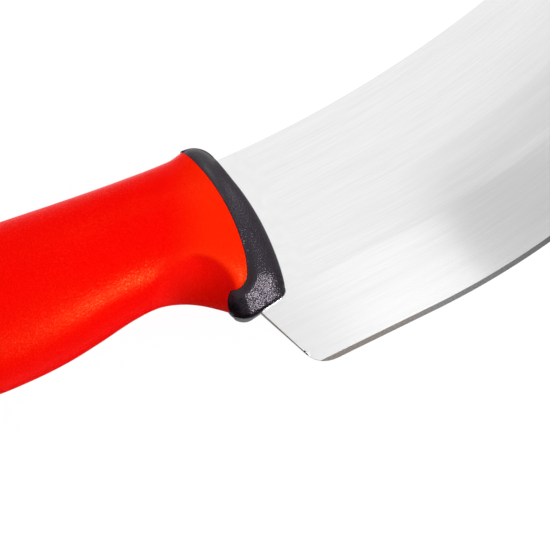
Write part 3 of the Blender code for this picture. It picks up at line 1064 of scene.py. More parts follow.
@dataclass
class Blade(Piece):
    """The blade: stamped from sheet, then ground by a tree of Geometry Nodes. Sizes in mm."""

    # Outline: a run has a length and a radius to its left, or None where it is straight
    heel_width: float = 49.85
    spine_height: float = 13.1
    spine_angle: float = 3.6
    spine_runs: tuple[Run, ...] = ((80.0, 262.0), (111.9, 461.0))
    edge_angle: float = 5.0
    edge_runs: tuple[Run, ...] = ((28.0, None), (70.0, 185.0), (40.0, 330.0))
    heel_angle: float = 117.0
    heel_top: Point = (-8.45, -20.0)
    heel_rounding: float = 4.6
    tip_rounding: float = 6.0
    # Tang, whose heights are its top's front and rear and its bottom's rear and front
    shoulder_setback: float = 8.0
    tang_heights: tuple[float, float, float, float] = (8.0, 6.2, -6.2, -7.2)
    tang_end: float = -96.0
    lock_holes: int = 3
    lock_hole_radius: float = 3.0
    lock_hole_margin: float = 0.75
    lock_hole_turns: Span = (0.0, 348.0)
    lock_hole_step: float = 0.6
    # Grind
    thickness: float = 2.5
    grind_width: float = GRIND_WIDTH
    bevel_width: float = BEVEL_WIDTH
    bevel_thickness: float = 1.10
    edge_land: float = 0.06
    heel_rounding_height: float = 0.35
    spine_rounding_height: float = 0.12
    rounding_limit: float = 0.8
    # Rows of points on the faces, as shares of a rounding or of the grind
    step: float = 0.7
    spine_rows: tuple[float, ...] = (1.0,)
    heel_rows: tuple[float, ...] = (0.05, 0.19, 0.40, 0.68, 1.0, 1.25)
    grind_rows: tuple[float, ...] = (0.25, 0.5, 0.75, 1.3, 1.6, 1.9)
    row_clearance: float = 0.01
    crease_width: float = 0.004
    # How far each side's grain is shifted, one way or the other, so that the two differ
    side_spread: float = 40.0

    def spine(self) -> Line:
        """Draw the spine.

        Returns:
            The line from the top shoulder to the sharp tip.
        """
        drop = self.shoulder_setback * math.tan(math.radians(self.spine_angle))
        start = (-self.shoulder_setback, self.spine_height - drop)
        return walk(start, self.spine_angle, [(self.shoulder_setback, None), *self.spine_runs], self.step)[0]

    def heel(self) -> Line:
        """Draw the heel.

        Returns:
            The line from inside the guard to the sharp lower corner.
        """
        low = self.spine_height - self.heel_width
        across = (low - self.heel_top[1]) / math.tan(math.radians(self.heel_angle))
        return straight(self.heel_top, (self.heel_top[0] + across, low), self.step)

    def edge(self) -> Line:
        """Return the cutting edge from the heel's sharp corner to the tip."""
        line, heading = walk(self.heel()[-1], self.edge_angle, self.edge_runs, self.step)
        return line + arc_to(line[-1], heading, self.spine()[-1], self.step)[1:]

    def tang(self) -> Line:
        """Draw the tang.

        Returns:
            Its corners from the top shoulder round to the bottom shoulder.
        """
        top, end_top, end_bottom, bottom = self.tang_heights
        front, rear = -self.shoulder_setback, self.tang_end
        return [(front, top), (rear, end_top), (rear, end_bottom), (front, bottom)]

    def outline(self) -> Line:
        """Return the whole blank's outline, a closed line."""
        low = rounded_join(self.heel(), self.edge(), self.heel_rounding)
        return rounded_join(low, self.spine()[::-1], self.tip_rounding) + self.tang()

    def holes(self) -> list[Line]:
        """Place the tang's lock holes evenly, with a margin at both ends.

        Returns:
            The outline of each hole.
        """
        margin = self.lock_hole_margin
        pitch = -(self.tang_end + self.shoulder_setback) / (self.lock_holes - 1 + 2 * margin)
        outlines = []
        for index in range(self.lock_holes):
            centre = (-self.shoulder_setback - pitch * (index + margin), 0.0)
            outlines.append(arc(centre, self.lock_hole_radius, self.lock_hole_turns, self.lock_hole_step))
        return outlines

    def edge_guide(self) -> Line:
        """Draw the line that the grind is measured from.

        Returns:
            The cutting edge, with a straight run in before the heel.
        """
        edge = self.edge()
        start, after = Vector(edge[0]), Vector(edge[1])
        return [tuple(start - (after - start).normalized() * self.grind_width)] + edge

    def blank(self) -> bpy.types.Object:
        """Make the flat blank, with faces that follow its lines closely.

        Returns:
            The blank's object.
        """
        outline = self.outline()
        guide = self.edge_guide()
        folds = [beside(guide, self.bevel_width), beside(guide, self.grind_width)]
        rows = [beside(self.spine(), -self.spine_rounding_height * share) for share in self.spine_rows]
        rows += [beside(self.heel(), self.heel_rounding_height * share) for share in self.heel_rows]
        rows += [beside(guide, self.grind_width * share) for share in self.grind_rows]
        points = np.vstack(rows)
        points = points[distances(points, outline, closed=True) > self.row_clearance]
        mesh = double_sheet("blade", outline, self.flat, self.holes(), folds, points)
        return new_object(self.name, mesh)

    def flat(self, points: np.ndarray) -> np.ndarray:
        """Return the height of the blank's face at each point."""
        return np.full(len(points), self.thickness / 2)

    def grinding_sizes(self) -> dict[str, float]:
        """Name the grinding's sizes.

        Returns:
            Each size by its name in the grinding's tree.
        """
        return {
            "Thickness": self.thickness,
            "Grind Width": self.grind_width,
            "Bevel Width": self.bevel_width,
            "Bevel Thickness": self.bevel_thickness,
            "Edge Land": self.edge_land,
            "Heel Rounding": self.heel_rounding_height,
            "Spine Rounding": self.spine_rounding_height,
        }

    def grinding(self) -> bpy.types.NodeTree:
        """Wire the Geometry Nodes that grind a blank.

        Returns:
            The tree, whose sizes are named inputs.
        """
        tree = bpy.data.node_groups.new("blade grinding", "GeometryNodeTree")
        lines = ("Edge", "Spine", "Heel")
        kinds = {"Blank": "Geometry"} | dict.fromkeys(lines, "Object") | {"Finish": "Material"}
        kinds |= dict.fromkeys(self.grinding_sizes(), "Float")
        for name, kind in kinds.items():
            tree.interface.new_socket(name, in_out="INPUT", socket_type=f"NodeSocket{kind}")
        tree.interface.new_socket("Blade", in_out="OUTPUT", socket_type="NodeSocketGeometry")
        board = Board(tree)
        blank = board.add("NodeGroupInput", output="Blank")
        size = {name: blank.other(name) for name in self.grinding_sizes()}

        x, y, _ = board.split(board.add("GeometryNodeInputPosition"))
        place = board.join(x, y, 0.0)
        edge, spine, heel = [self.nearest(board, blank.other(name), place) for name in lines]
        depth = edge.other("Distance")
        half = self.ground(size, depth)
        heel_radius = size["Heel Rounding"].at_most(half * self.rounding_limit)
        from_heel = (heel.other("Distance") / heel_radius).at_most(1.0)
        from_spine = (spine.other("Distance") / size["Spine Rounding"]).at_most(1.0)
        spine_drop = self.rounding(from_spine) * size["Spine Rounding"].at_most(half * self.rounding_limit)
        half = half - spine_drop.at_least(self.rounding(from_heel) * heel_radius)

        side = board.add("GeometryNodeInputNamedAttribute", {"data_type": "FLOAT"}, {"Name": "side"})
        nearest_x, _, _ = board.split(edge)
        across = depth / (spine.other("Distance") + depth) * self.heel_width
        stored = {
            "grain": ("FLOAT_VECTOR", board.join(nearest_x, across, side * self.side_spread)),
            "depth": ("FLOAT", depth),
            "wall": ("FLOAT", 1.0 - from_heel),
        }
        shape = blank
        for name, (kind, value) in stored.items():
            settings = {"data_type": kind, "domain": "POINT"}
            inputs = {"Geometry": shape, "Name": name, "Value": value}
            shape = board.add("GeometryNodeStoreNamedAttribute", settings, inputs)
        inputs = {"Geometry": shape, "Position": board.join(x, y, side * half)}
        shape = board.add("GeometryNodeSetPosition", inputs=inputs)
        shape = board.add("GeometryNodeRealizeInstances", inputs={"Geometry": shape})
        inputs = {"Geometry": shape, "Material": blank.other("Finish")}
        shape = board.add("GeometryNodeSetMaterial", inputs=inputs)
        board.add("NodeGroupOutput", inputs={"Blade": shape}, output=None)
        return tree

    @staticmethod
    def ground(size: dict[str, Signal], depth: Signal) -> Signal:
        """Work out the bevel, the grind and the flat above them.

        Args:
            size: the grinding's named sizes.
            depth: the distance from the cutting edge.

        Returns:
            Half the blade's thickness.
        """
        bevel_rise = (size["Bevel Thickness"] - size["Edge Land"]) / size["Bevel Width"]
        grind_run = size["Grind Width"] - size["Bevel Width"]
        grind_rise = (size["Thickness"] - size["Bevel Thickness"]) / grind_run
        bevel = size["Edge Land"] + depth * bevel_rise
        grind = size["Bevel Thickness"] + (depth - size["Bevel Width"]) * grind_rise
        return bevel.at_most(grind).at_most(size["Thickness"]) / 2.0

    @staticmethod
    def rounding(share: Signal) -> Signal:
        """Return how far a rounded edge lies below its face, as shares of its radius."""
        short = 1.0 - share
        return 1.0 - (1.0 - short * short).root()

    @staticmethod
    def nearest(board: Board, thread: Signal, place: Signal) -> Signal:
        """Find the nearest point of a line.

        Args:
            board: the tree's nodes.
            thread: the line's object.
            place: the place that it is near to.

        Returns:
            The nearest point, whose node also gives its distance.
        """
        line = board.add("GeometryNodeObjectInfo", inputs={"Object": thread}, output="Geometry")
        inputs = {"Geometry": line, "Sample Position": place}
        return board.add("GeometryNodeProximity", {"target_element": "EDGES"}, inputs)

    def shape(self) -> bpy.types.Object:
        """Make the blank and grind it.

        Returns:
            The blade's object, in millimetres about the datum.
        """
        blade = self.blank()
        lines = {"Edge": self.edge_guide(), "Spine": self.spine(), "Heel": self.heel()}
        threads = {name: thread_object(f"{name} line", line) for name, line in lines.items()}
        values = threads | self.grinding_sizes() | {"Finish": self.finish.material()}
        grinding = blade.modifiers.new("grinding", "NODES")
        grinding.node_group = self.grinding()
        for item in grinding.node_group.interface.items_tree:
            if item.in_out == "INPUT" and item.name in values:
                grinding[item.identifier] = values[item.name]
        baked(blade)
        for thread in threads.values():
            bpy.data.objects.remove(thread, do_unlink=True)
        self.crease(blade.data)
        return blade

    def crease(self, mesh: bpy.types.Mesh) -> None:
        """Make the grind and bevel lines crisp.

        Args:
            mesh: the ground blade's mesh, which is changed.
        """
        mesh.set_sharp_from_angle(angle=SHARP_ANGLE)
        depth = np.zeros(len(mesh.vertices), np.float32)
        mesh.attributes["depth"].data.foreach_get("value", depth)
        for edge in mesh.edges:
            ends = [depth[vertex] for vertex in edge.vertices]
            for line in (self.bevel_width, self.grind_width):
                if all(abs(end - line) < self.crease_width for end in ends):
                    edge.use_edge_sharp = True


@dataclass(frozen=True)
class HandleForm:
    """The handle's outer form, which the core and the grip share. Sizes in mm."""

    length: float = 137.0
    butt_length: float = 16.0
    collar_length: float = 5.7
    power: float = 2.35
    ring_points: int = 144
    # Sections near the collar lean back above and below a middle height
    lean_middle: float = -3.5
    lean_radius: float = 45.0
    lean_fade: float = 30.0
    lean_rounds: int = 6
    top: Profile = Profile((
        (-137, 10.0), (-124, 12.3), (-112, 14.6), (-98, 16.3), (-84, 17.2), (-68, 17.45), (-53, 17.05),
        (-40, 16.55), (-26, 16.25), (-15, 16.38), (-11.2, 17.2), (-9, 17.4), (0, 17.4),
    ))
    bottom: Profile = Profile((
        (-137, -22.2), (-124, -21.5), (-117, -19.8), (-109, -16.6), (-98, -15), (-84, -16), (-68, -17.5),
        (-58, -17.25), (-50, -16.42), (-42, -14.88), (-34, -13.1), (-28, -12.5), (-23.5, -13.38),
        (-19.2, -15.35), (-14, -19.2), (-12, -20.3), (-9, -20.5), (0, -20.3),
    ))
    side: Profile = Profile((
        (-137, 11.0), (-121, 11.0), (-104, 10.8), (-82, 11.75), (-60.3, 11.95), (-45.2, 11.5),
        (-32.9, 10.35), (-21.9, 9.8), (-13.7, 9.5), (-5.5, 8.6), (0, 8.1),
    ))
    # The forefinger's scoop, whose slope gets softer towards its rear
    scoop_centre: Point = (-19.5, -14.0)
    scoop_ahead: float = 8.2
    scoop_behind: float = 12.5
    scoop_above: float = 9.4
    scoop_share: float = 0.50
    scoop_softness: float = 1.05
    scoop_tail: float = 1.0
    scoop_turn: Span = (-3.5, 4.0)

    def lean(self, y: np.ndarray | float) -> np.ndarray:
        """Return how far a section near the collar leans back at a height."""
        return -((np.asarray(y, float) - self.lean_middle) ** 2) / (2 * self.lean_radius)

    def lean_weight(self, back: np.ndarray | float) -> np.ndarray:
        """Return the share of the lean that a section has, at a distance behind the collar's front."""
        return 1 - eased(back, self.collar_length, self.collar_length + self.lean_fade)

    def section(self, back: np.ndarray | float) -> tuple[np.ndarray, np.ndarray, np.ndarray]:
        """Measure a section.

        Args:
            back: its distance behind the collar's front.

        Returns:
            Its top, its bottom and half its width.
        """
        weight = self.lean_weight(back)
        top = self.top(-back + weight * self.lean(self.top(-back)))
        bottom = self.bottom(-back + weight * self.lean(self.bottom(-back)))
        return top, bottom, self.side(-back)

    def scooped(self, x: np.ndarray, y: np.ndarray) -> np.ndarray:
        """Hollow the finger scoop.

        Args:
            x: the places along X.
            y: the places along Y.

        Returns:
            The share of the width that the scoop leaves at each place.
        """
        along = x - self.scoop_centre[0]
        along = along / np.where(along > 0, self.scoop_ahead, self.scoop_behind)
        reach = np.hypot(along, (y - self.scoop_centre[1]) / self.scoop_above)
        softness = self.scoop_softness + self.scoop_tail * eased(self.scoop_centre[0] - x, *self.scoop_turn)
        return 1 - self.scoop_share * np.clip(1 - reach ** 2, 0.0, None) ** softness

    def surface(self, x: np.ndarray, y: np.ndarray) -> np.ndarray:
        """Find the handle's face.

        Args:
            x: the places along X.
            y: the places along Y.

        Returns:
            The face's height above the blade's middle plane at each place.
        """
        back = -x
        for _ in range(self.lean_rounds):
            back = self.lean_weight(back) * self.lean(y) - x
        top, bottom, width = self.section(np.clip(back, 0.0, None))
        middle, half = (top + bottom) / 2, (top - bottom) / 2
        share = np.clip(np.abs((y - middle) / half), 0.0, 1.0)
        return width * (1 - share ** self.power) ** (1 / self.power) * self.scooped(x, y)

    def ring(self, back: float, grow: float = 0.0, fullness: float = 1.0) -> np.ndarray:
        """Place points round one section.

        Args:
            back: its distance behind the collar's front.
            grow: how far it is larger than the handle's form.
            fullness: the share of its full size, about its middle.

        Returns:
            The points, one in each row.
        """
        top, bottom, width = self.section(back)
        middle, half = (top + bottom) / 2, (top - bottom) / 2 * fullness + grow
        turns = math.tau * (np.arange(self.ring_points) + 0.5) / self.ring_points
        cosine, sine = np.cos(turns), np.sin(turns)
        y = middle + half * np.sign(cosine) * np.abs(cosine) ** (2 / self.power)
        x = -back + self.lean_weight(back) * self.lean(y)
        z = (width * fullness + grow) * np.sign(sine) * np.abs(sine) ** (2 / self.power)
        return np.column_stack([x, y, z * self.scooped(x, y)])


@dataclass(frozen=True)
class Collar:
    """The form of the collar and of the finger guard below it. Sizes in mm, turns in degrees from +X."""

    form: HandleForm = HandleForm()
    # Outline
    front_centre: Point = (-60.7, -10.3)
    front_radius: float = 60.0
    front_turns: Span = (17.0, -7.68)
    top_corner: Point = (-10.25, 11.95)
    top_corner_radius: float = 5.5
    top_corner_turns: Span = (90.0, 18.0)
    toe: Point = (-3.6, -18.0)
    toe_radius: float = 2.4
    toe_turns: Span = (-7.7, -75.6)
    lobe: Point = (-10.15, -17.95)
    lobe_radius: float = 3.95
    lobe_free_turns: Span = (-75.6, -160.0)
    lobe_joined_turns: Span = (-160.0, -232.0)
    red_corner: Point = (-11.45, -11.62)
    red_corner_radius: float = 3.5
    red_corner_turns: Span = (-92.0, -20.0)
    back_centre: Point = (-56.8, -3.1)
    back_radius: float = 50.0
    back_start: float = -8.5
    # Face
    proud: float = 0.03
    full_height: float = 8.70
    least_height: float = 1.40
    front_rounding: float = 5.0
    front_share: float = 0.72
    front_corner_points: int = 8
    lobe_slope: float = 0.85
    lobe_bend: float = 0.8
    lobe_start: Span = (0.0, 2.0)
    lobe_rounding: float = 1.1
    guard_crest: Point = (-10.3, -12.2)
    facet_direction: Point = (-0.19, -0.982)
    facet_slope: float = 0.31
    facet_bend: float = 2.2
    join_length: float = 1.8
    join_rounding: float = 0.3
    # Points
    step: float = 0.35
    least_step: float = 0.05
    row_insets: tuple[float, ...] = (0.03, 0.10, 0.22, 0.40, 0.65, 0.95, 1.3, 1.7)
    row_share: float = 0.9
    grid: float = 0.45
    grid_clearance: float = 0.3

    def top_height(self) -> float:
        """Return the height of the collar's top."""
        return self.top_corner[1] + self.top_corner_radius

    def top_line(self) -> Line:
        """Draw the collar's top.

        Returns:
            The line from the grip over the front corner.
        """
        start = (self.back_edge(self.top_height()), self.top_height())
        corner = arc(self.top_corner, self.top_corner_radius, self.top_corner_turns, self.step)
        return straight(start, corner[0], self.step)[:-1] + corner

    def front_line(self) -> Line:
        """Return the collar's front, where the blade comes out."""
        front = arc(self.front_centre, self.front_radius, self.front_turns, self.step)
        return straight(self.top_line()[-1], front[0], self.step)[1:-1] + front

    def low_line(self) -> Line:
        """Draw the free lower edge.

        Returns:
            The line round the toe, along the bottom and round the lobe's underside.
        """
        toe = arc(self.toe, self.toe_radius, self.toe_turns, self.step)
        lobe = arc(self.lobe, self.lobe_radius, self.lobe_free_turns, self.step)
        return toe + straight(toe[-1], lobe[0], self.step)[1:] + lobe[1:]

    def red_line(self) -> Line:
        """Draw the edge against the grip.

        Returns:
            The line from the lobe's left side to the top.
        """
        lobe = arc(self.lobe, self.lobe_radius, self.lobe_joined_turns, self.step)
        corner = arc(self.red_corner, self.red_corner_radius, self.red_corner_turns, self.step)
        heights = (self.back_start, self.top_height())
        turns = [math.degrees(math.asin((y - self.back_centre[1]) / self.back_radius)) for y in heights]
        back = arc(self.back_centre, self.back_radius, turns, self.step)
        bend = arc_to(corner[-1], self.red_corner_turns[1] + 90.0, back[0], self.step)
        return lobe + straight(lobe[-1], corner[0], self.step)[1:] + corner[1:] + bend[1:] + back[1:]

    def back_edge(self, y: float) -> float:
        """Return where the collar meets the grip at a height."""
        return self.back_centre[0] + math.sqrt(self.back_radius ** 2 - (y - self.back_centre[1]) ** 2)

    def outline(self) -> Line:
        """Draw the outline of the collar and the guard.

        Returns:
            The outline, a closed line.
        """
        line = self.top_line() + self.front_line() + self.low_line() + self.red_line()
        line = without_repeats(line, self.least_step)
        return line[:-1] if math.dist(line[0], line[-1]) < self.least_step else line

    def height(self, points: np.ndarray) -> np.ndarray:
        """Shape the face of the collar and the guard.

        Args:
            points: an array of points, one in each row.

        Returns:
            The face's height at each point.
        """
        form = self.form
        x, y = points.T
        half = (self.top_height() - self.toe[1] + self.toe_radius) / 2
        from_top = np.clip(distances(points, self.top_line()) / half, 0.0, 1.0)
        upper = (1 - (1 - from_top) ** form.power) ** (1 / form.power)
        front_line = self.top_line()[-self.front_corner_points:] + self.front_line()
        drop = rounding_drop(distances(points, front_line), self.front_rounding)
        front = 1 - (1 - self.front_share) * drop / self.front_rounding
        crest, (along_x, along_y) = self.guard_crest, self.facet_direction
        below = (x - crest[0]) * along_x + (y - crest[1]) * along_y
        height = self.full_height * upper * front - self.facet_slope * ramp(below, self.facet_bend)
        lobe = self.lobe_slope * ramp(crest[0] - x, self.lobe_bend)
        height = height - lobe * eased(below, *self.lobe_start)
        grip = form.surface(x, y)
        from_red = distances(points, self.red_line())
        height = grip + (height - grip) * eased(from_red, 0.0, self.join_length)
        height = height + self.proud - rounding_drop(from_red, self.join_rounding)
        height = height - rounding_drop(distances(points, self.low_line()), self.lobe_rounding)
        return np.maximum(height, self.least_height)

    def solid(self, name: str) -> bpy.types.Object:
        """Make the collar and the guard as one rounded solid.

        Args:
            name: the name of its object and mesh.

        Returns:
            The object.
        """
        outline = self.outline()
        closed = outline + outline[:1]
        points = []
        for inset in self.row_insets:
            row = np.array(beside(closed, -inset))
            points.append(row[distances(row, outline, closed=True) > self.row_share * inset])
        low, high = np.array(outline).min(0), np.array(outline).max(0)
        columns, rows = np.arange(low[0], high[0], self.grid), np.arange(low[1], high[1], self.grid)
        middle = np.stack(np.meshgrid(columns, rows), -1).reshape(-1, 2)
        clearance = self.row_insets[-1] + self.grid_clearance
        points.append(middle[distances(middle, outline, closed=True) > clearance])
        return new_object(name, double_sheet(name, outline, self.height, points=np.vstack(points)))

    def prism(self, half_height: float) -> bpy.types.Object:
        """Make a cutter with straight walls that follow the outline."""
        sheet = double_sheet("prism", self.outline(), lambda points: np.full(len(points), half_height))
        return new_object("prism", sheet)


@dataclass
class Grip(Piece):
    """The red sleeve that is moulded round the handle's core. Sizes in mm."""

    form: HandleForm = HandleForm()
    collar: Collar = Collar()
    wall: float = GRIP_WALL
    overlap: float = 1.0
    spacing: float = 0.6
    bore_spacings: int = 4
    end_rounding: float = 0.15

    def shape(self) -> bpy.types.Object:
        """Make the sleeve's outer skin and its bore, and cut its front to the collar's line.

        Returns:
            The grip's object, in millimetres about the datum.
        """
        form = self.form
        front, rear = form.collar_length - self.overlap, form.length - form.butt_length
        backs = np.linspace(front, rear - self.end_rounding, round((rear - front) / self.spacing))
        outside = [form.ring(back) for back in backs]
        outside.append(form.ring(rear, -self.end_rounding))
        bore = [form.ring(back, -self.wall) for back in np.append(backs[::self.bore_spacings], rear)]
        grip = new_object(self.name, loft(self.name, outside + bore[::-1], closed=True))
        cut(grip, [(self.collar.prism(form.length), Cut.TAKEN_AWAY)])
        grip.data.set_sharp_from_angle(angle=SHARP_ANGLE)
        return grip


@dataclass
class HandleCore(Piece):
    """The black first moulding: collar, guard, body under the grip, and butt. Sizes in mm."""

    form: HandleForm = HandleForm()
    collar: Collar = Collar()
    # The body, which starts inside the collar and ends inside the butt
    wall: float = GRIP_WALL
    gap: float = 0.05
    body_start: float = 3.0
    body_rings: int = 60
    # The butt: its first turn is in radians, and its last as a share of a right angle
    butt_power: float = 2.4
    butt_setback: float = 0.02
    butt_rounding: float = 0.15
    butt_full_setback: float = 0.17
    butt_first_turn: float = 0.05
    butt_last_turn: float = 0.985
    butt_rings: int = 34
    # The hanging hole
    hole_setback: float = 9.0
    hole_radius: float = 4.0
    hole_flare: float = 1.2
    hole_flare_depth: float = 0.25
    hole_flare_rings: int = 9
    hole_rim: float = 0.8
    hole_overshoot: float = 3.0
    hole_sides: int = 64

    def body(self) -> bpy.types.Object:
        """Make the body under the grip, with the butt at its rear end.

        Returns:
            The body's object.
        """
        form = self.form
        start = form.length - form.butt_length
        first = start + self.butt_setback
        backs = np.linspace(self.body_start, first, self.body_rings)
        rings = [form.ring(back, -self.wall - self.gap) for back in backs]
        rings.append(form.ring(first, -self.butt_rounding))
        turns = np.linspace(self.butt_first_turn, math.pi / 2 * self.butt_last_turn, self.butt_rings)
        for share in (0.0, *np.sin(turns)):
            fullness = (1 - share ** self.butt_power) ** (1 / self.butt_power)
            back = start + self.butt_full_setback + (form.butt_length - self.butt_full_setback) * share
            rings.append(form.ring(back, fullness=fullness))
        return new_object("body", loft("body", rings))

    def hanging_hole(self) -> bpy.types.Object:
        """Make the cutter for the hanging hole, flared where it meets the butt's faces.

        Returns:
            The cutter's object.
        """
        x = self.hole_setback - self.form.length
        y = float(self.form.top(x) + self.form.bottom(x)) / 2
        face = float(self.form.surface(np.array([x]), np.array([y]))[0])
        rows = [(self.hole_radius, 0.0)]
        for turn in np.radians(np.linspace(0, 90, self.hole_flare_rings)):
            radius = self.hole_radius + self.hole_flare * (1 - math.cos(turn))
            rows.append((radius, face - self.hole_flare_depth - self.hole_flare * (1 - math.sin(turn))))
        rows.append((self.hole_radius + self.hole_flare + self.hole_rim, face + self.hole_overshoot))
        rows = [(radius, -z) for radius, z in rows[:0:-1]] + rows
        count, last = self.hole_sides, len(rows) - 1
        turns = math.tau * np.arange(count) / count
        cosine, sine = np.cos(turns), np.sin(turns)
        points = [
            np.column_stack([x + radius * cosine, y + radius * sine, np.full(count, z)])
            for radius, z in rows
        ]
        faces = ring_faces([(row, row + 1) for row in range(last)], count)
        faces += [tuple(range(count)), tuple(range(last * count, (last + 1) * count))]
        return new_object("hanging hole", plain_mesh("hanging hole", np.vstack(points), faces))

    def shape(self) -> bpy.types.Object:
        """Join the collar and the body, and cut the hanging hole.

        Returns:
            The core's object, in millimetres about the datum.
        """
        core = self.collar.solid(self.name)
        cut(core, [(self.body(), Cut.ADDED), (self.hanging_hole(), Cut.TAKEN_AWAY)])
        core.data.shade_smooth()
        core.data.set_sharp_from_angle(angle=SHARP_ANGLE)
        return core


# The studio


class Ray(Enum):
    """The kinds of ray that a lamp or a card can be hidden from."""

    CAMERA = "visible_camera"
    DIFFUSE = "visible_diffuse"
    GLOSSY = "visible_glossy"
    TRANSMISSION = "visible_transmission"
    SHADOW = "visible_shadow"

    def hide(self, thing: bpy.types.Object) -> None:
        """Hide an object from this kind of ray."""
        setattr(thing, self.value, False)


@dataclass(frozen=True)
class Lamp:
    """A round soft lamp, placed from the photograph's middle by its right, up and towards the viewer.

    Its brightness is what a white surface that faces it would show. Sizes in metres.
    """

    name: str
    direction: tuple[float, float, float]
    distance: float
    size: float
    brightness: float
    hidden_from: tuple[Ray, ...] = ()

    def build(self, target: Vector, axes: tuple[Vector, Vector, Vector]) -> None:
        """Make the lamp.

        Args:
            target: the point that it faces.
            axes: the photograph's right, up and towards the viewer.
        """
        data = bpy.data.lights.new(self.name, "AREA")
        data.shape = "DISK"
        data.size = self.size
        data.energy = self.brightness * (math.pi * self.distance) ** 2
        made = new_object(self.name, data)
        direction = sum((axis * share for axis, share in zip(axes, self.direction)), Vector()).normalized()
        made.location = target + direction * self.distance
        made.rotation_euler = direction.to_track_quat("Z", "Y").to_euler()
        for ray in self.hidden_from:
            ray.hide(made)


@dataclass(frozen=True)
class Card:
    """A flat card that only reflections show, by its corners in mm about the datum."""

    name: str
    corners: tuple[tuple[float, float, float], ...]
    brightness: float

    def glow(self, board: Board) -> Signal:
        """Wire the card's even glow and return its shader."""
        return board.add("ShaderNodeEmission", inputs={"Strength": self.brightness})

    def build(self) -> None:
        """Make the card."""
        mesh = bpy.data.meshes.new(self.name)
        mesh.from_pydata(self.corners, [], [tuple(range(len(self.corners)))])
        mesh.materials.append(wired_material(self.name, self.glow))
        made = new_object(self.name, Placement.mesh(mesh))
        for ray in Ray:
            if ray is not Ray.GLOSSY:
                ray.hide(made)


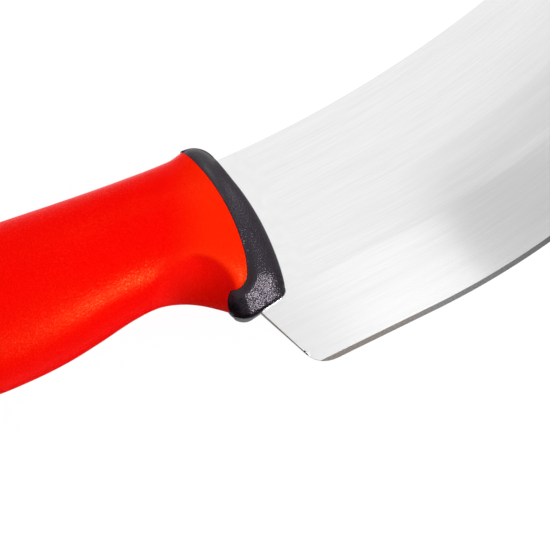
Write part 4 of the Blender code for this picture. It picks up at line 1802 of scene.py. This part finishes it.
@dataclass
class Studio:
    """The plain floor, the soft lights and the camera. Sizes in metres, angles in degrees."""

    frame_width: float = 0.11884
    frame_centre: Point = (-1.74, -14.75)
    roll: float = 21.39
    tilt: float = 7.5
    tilt_towards: Point = (-0.897, -0.441)
    camera_distance: float = 1.1
    camera_reach: float = 10.0
    sensor: float = 36.0
    lamps: tuple[Lamp, ...] = (
        Lamp("soft box above", (-0.22, 0.60, 0.77), 0.9, 0.45, 0.42, hidden_from=(Ray.GLOSSY,)),
        Lamp("sheen", (0.20, 0.70, 0.69), 0.9, 0.45, 0.20, hidden_from=(Ray.DIFFUSE,)),
        Lamp("soft box beside", (0.77, 0.08, 0.64), 0.9, 0.45, 0.13, hidden_from=(Ray.GLOSSY,)),
        Lamp("low soft box", (0.82, -0.48, 0.32), 0.9, 0.45, 0.38, hidden_from=(Ray.GLOSSY,)),
        Lamp("soft box below", (0.36, -0.42, 0.84), 0.9, 0.30, 0.18),
        Lamp("glint", (0.36, -0.42, 0.84), 0.36, 0.05, 1.00, hidden_from=(Ray.DIFFUSE,)),
    )
    cards: tuple[Card, ...] = (
        Card("dark flag", ((-260, -46, -11), (12, -46, -11), (12, -300, 330), (-260, -300, 330)), 0.004),
        Card("grey flag", ((12, -46, -11), (300, -46, -11), (300, -300, 330), (12, -300, 330)), 0.36),
        # The two sheets on the floor under the handle and the heel are painted shade of the floor there,
        # which only reflections show
        Card(
            "dark sheet",
            ((-220, -8, -11.6), (-15, -8, -11.6), (-15, -60, -11.6), (-220, -60, -11.6)),
            0.004,
        ),
        Card("heel sheet", ((-14, -17, -11.6), (7, -17, -11.6), (7, -60, -11.6), (-14, -60, -11.6)), 0.48),
        Card("heel card", ((-60, -22, 150), (22, -20, 150), (38, -64, 150), (-60, -64, 150)), 0.70),
        Card("grey card", ((52, -6, 150), (125, -137, 150), (290, -91, 150), (185, 60, 150)), 0.70),
        Card(
            "low card",
            ((45, -11, 60), (48, -28, 60), (70, -75, 60), (200, -75, 60), (200, -11, 60)),
            0.54,
        ),
    )
    # The fill light is a share of the white surroundings that the camera and reflections see
    fill: float = 0.38
    # The floor: a lit grey, mostly covered by an even white, so that it keeps a light shadow
    floor_size: float = 3.0
    floor_grey: float = 0.9
    floor_white: float = 1.05
    floor_share: float = 0.90

    def axes(self) -> tuple[Vector, Vector, Vector]:
        """Work out the photograph's directions in the frame.

        Returns:
            Its right, up and towards the viewer.
        """
        turn = math.radians(self.roll)
        right = Vector((math.cos(turn), -math.sin(turn), 0.0))
        return right, Vector((math.sin(turn), math.cos(turn), 0.0)), Vector((0.0, 0.0, 1.0))

    def target(self) -> Vector:
        """Return the point in the middle of the photograph."""
        return Placement.datum() + Vector((*self.frame_centre, 0.0)) * MM

    def camera(self) -> None:
        """Make the camera: a long lens, a little on the heel's side."""
        tilt = math.radians(self.tilt)
        towards = Vector((*self.tilt_towards, 0.0)).normalized()
        back = Vector((0.0, 0.0, math.cos(tilt))) + towards * math.sin(tilt)
        _, up, _ = self.axes()
        right = up.cross(back).normalized()
        up = back.cross(right)
        data = bpy.data.cameras.new("camera")
        data.sensor_width = self.sensor
        data.lens = self.sensor * self.camera_distance / self.frame_width
        data.clip_end = self.camera_reach
        made = new_object("camera", data)
        place = Matrix((right, up, back)).transposed().to_4x4()
        place.translation = self.target() + back * self.camera_distance
        made.matrix_world = place
        bpy.context.scene.camera = made

    def world(self) -> None:
        """Make white surroundings for the camera and reflections, and a dimmer fill light."""
        world = bpy.data.worlds.new("studio")
        bpy.context.scene.world = world
        world.use_nodes = True
        world.node_tree.nodes.clear()
        board = Board(world.node_tree)
        strength = self.fill + self.seen(board) * (1.0 - self.fill)
        inputs = {"Color": (1.0, 1.0, 1.0, 1.0), "Strength": strength}
        surroundings = board.add("ShaderNodeBackground", inputs=inputs)
        board.add("ShaderNodeOutputWorld", inputs={"Surface": surroundings}, output=None)

    @staticmethod
    def seen(board: Board) -> Signal:
        """Return 1 for the rays that show a surface, straight or in a reflection."""
        camera = board.add("ShaderNodeLightPath", output="Is Camera Ray")
        return camera.at_least(camera.other("Is Glossy Ray")).at_least(camera.other("Is Transmission Ray"))

    def floor_surface(self, board: Board) -> Signal:
        """Wire the floor's surface.

        Args:
            board: the material's nodes.

        Returns:
            The shader.
        """
        lit = board.add("ShaderNodeBsdfDiffuse", inputs={"Color": (*(self.floor_grey,) * 3, 1.0)})
        white = board.add("ShaderNodeEmission", inputs={"Strength": self.floor_white})
        share = self.seen(board) * self.floor_share
        return board.add("ShaderNodeMixShader", inputs={0: share, 1: lit, 2: white})

    def floor(self) -> None:
        """Make the floor."""
        half = self.floor_size / 2
        corners = [(-half, -half, 0.0), (half, -half, 0.0), (half, half, 0.0), (-half, half, 0.0)]
        mesh = bpy.data.meshes.new("floor")
        mesh.from_pydata(corners, [], [(0, 1, 2, 3)])
        mesh.materials.append(wired_material("floor", self.floor_surface))
        new_object("floor", mesh)

    def build(self) -> None:
        """Set up the whole studio."""
        bpy.context.scene.view_settings.view_transform = "Standard"
        self.world()
        self.floor()
        for lamp in self.lamps:
            lamp.build(self.target(), self.axes())
        for card in self.cards:
            card.build()
        self.camera()


def main() -> None:
    """Build the knife and its studio."""
    logging.basicConfig(level=logging.INFO, format="%(name)s: %(message)s")
    steel = SatinSteel("satin steel")
    black = SparkPlastic(
        "black spark plastic",
        tone=(0.011, 0.008, 0.013),
        pit_tone=(0.005, 0.0035, 0.006),
        tint=(0.98, 0.86, 1.0),
        gloss=0.38,
        tip_gloss=0.38,
        roughness=0.30,
        grain=0.36,
        relief=0.12,
    )
    red = GripPlastic(
        "red spark plastic",
        tone=(0.97, 0.0016, 0.0005),
        pit_tone=(0.92, 0.0008, 0.0003),
        tint=(1.0, 0.45, 0.09),
        gloss=0.045,
        tip_gloss=0.17,
        roughness=0.28,
        grain=0.32,
        relief=0.048,
        form=HandleForm(),
        # The grip's colour carries a painted sheen towards the collar and painted shade in the scoop
        sheen_tone=(0.97, 0.0155, 0.0006),
        scoop_shade_tone=(0.60, 0.0005, 0.0003),
    )
    Blade("blade_steel", "blade", "blade_steel", steel).build()
    HandleCore("core", "handle_core", "core_plastic", black).build()
    Grip("grip", "grip_sleeve", "grip_plastic", red).build()
    Studio().build()


if __name__ == "__main__":
    main()
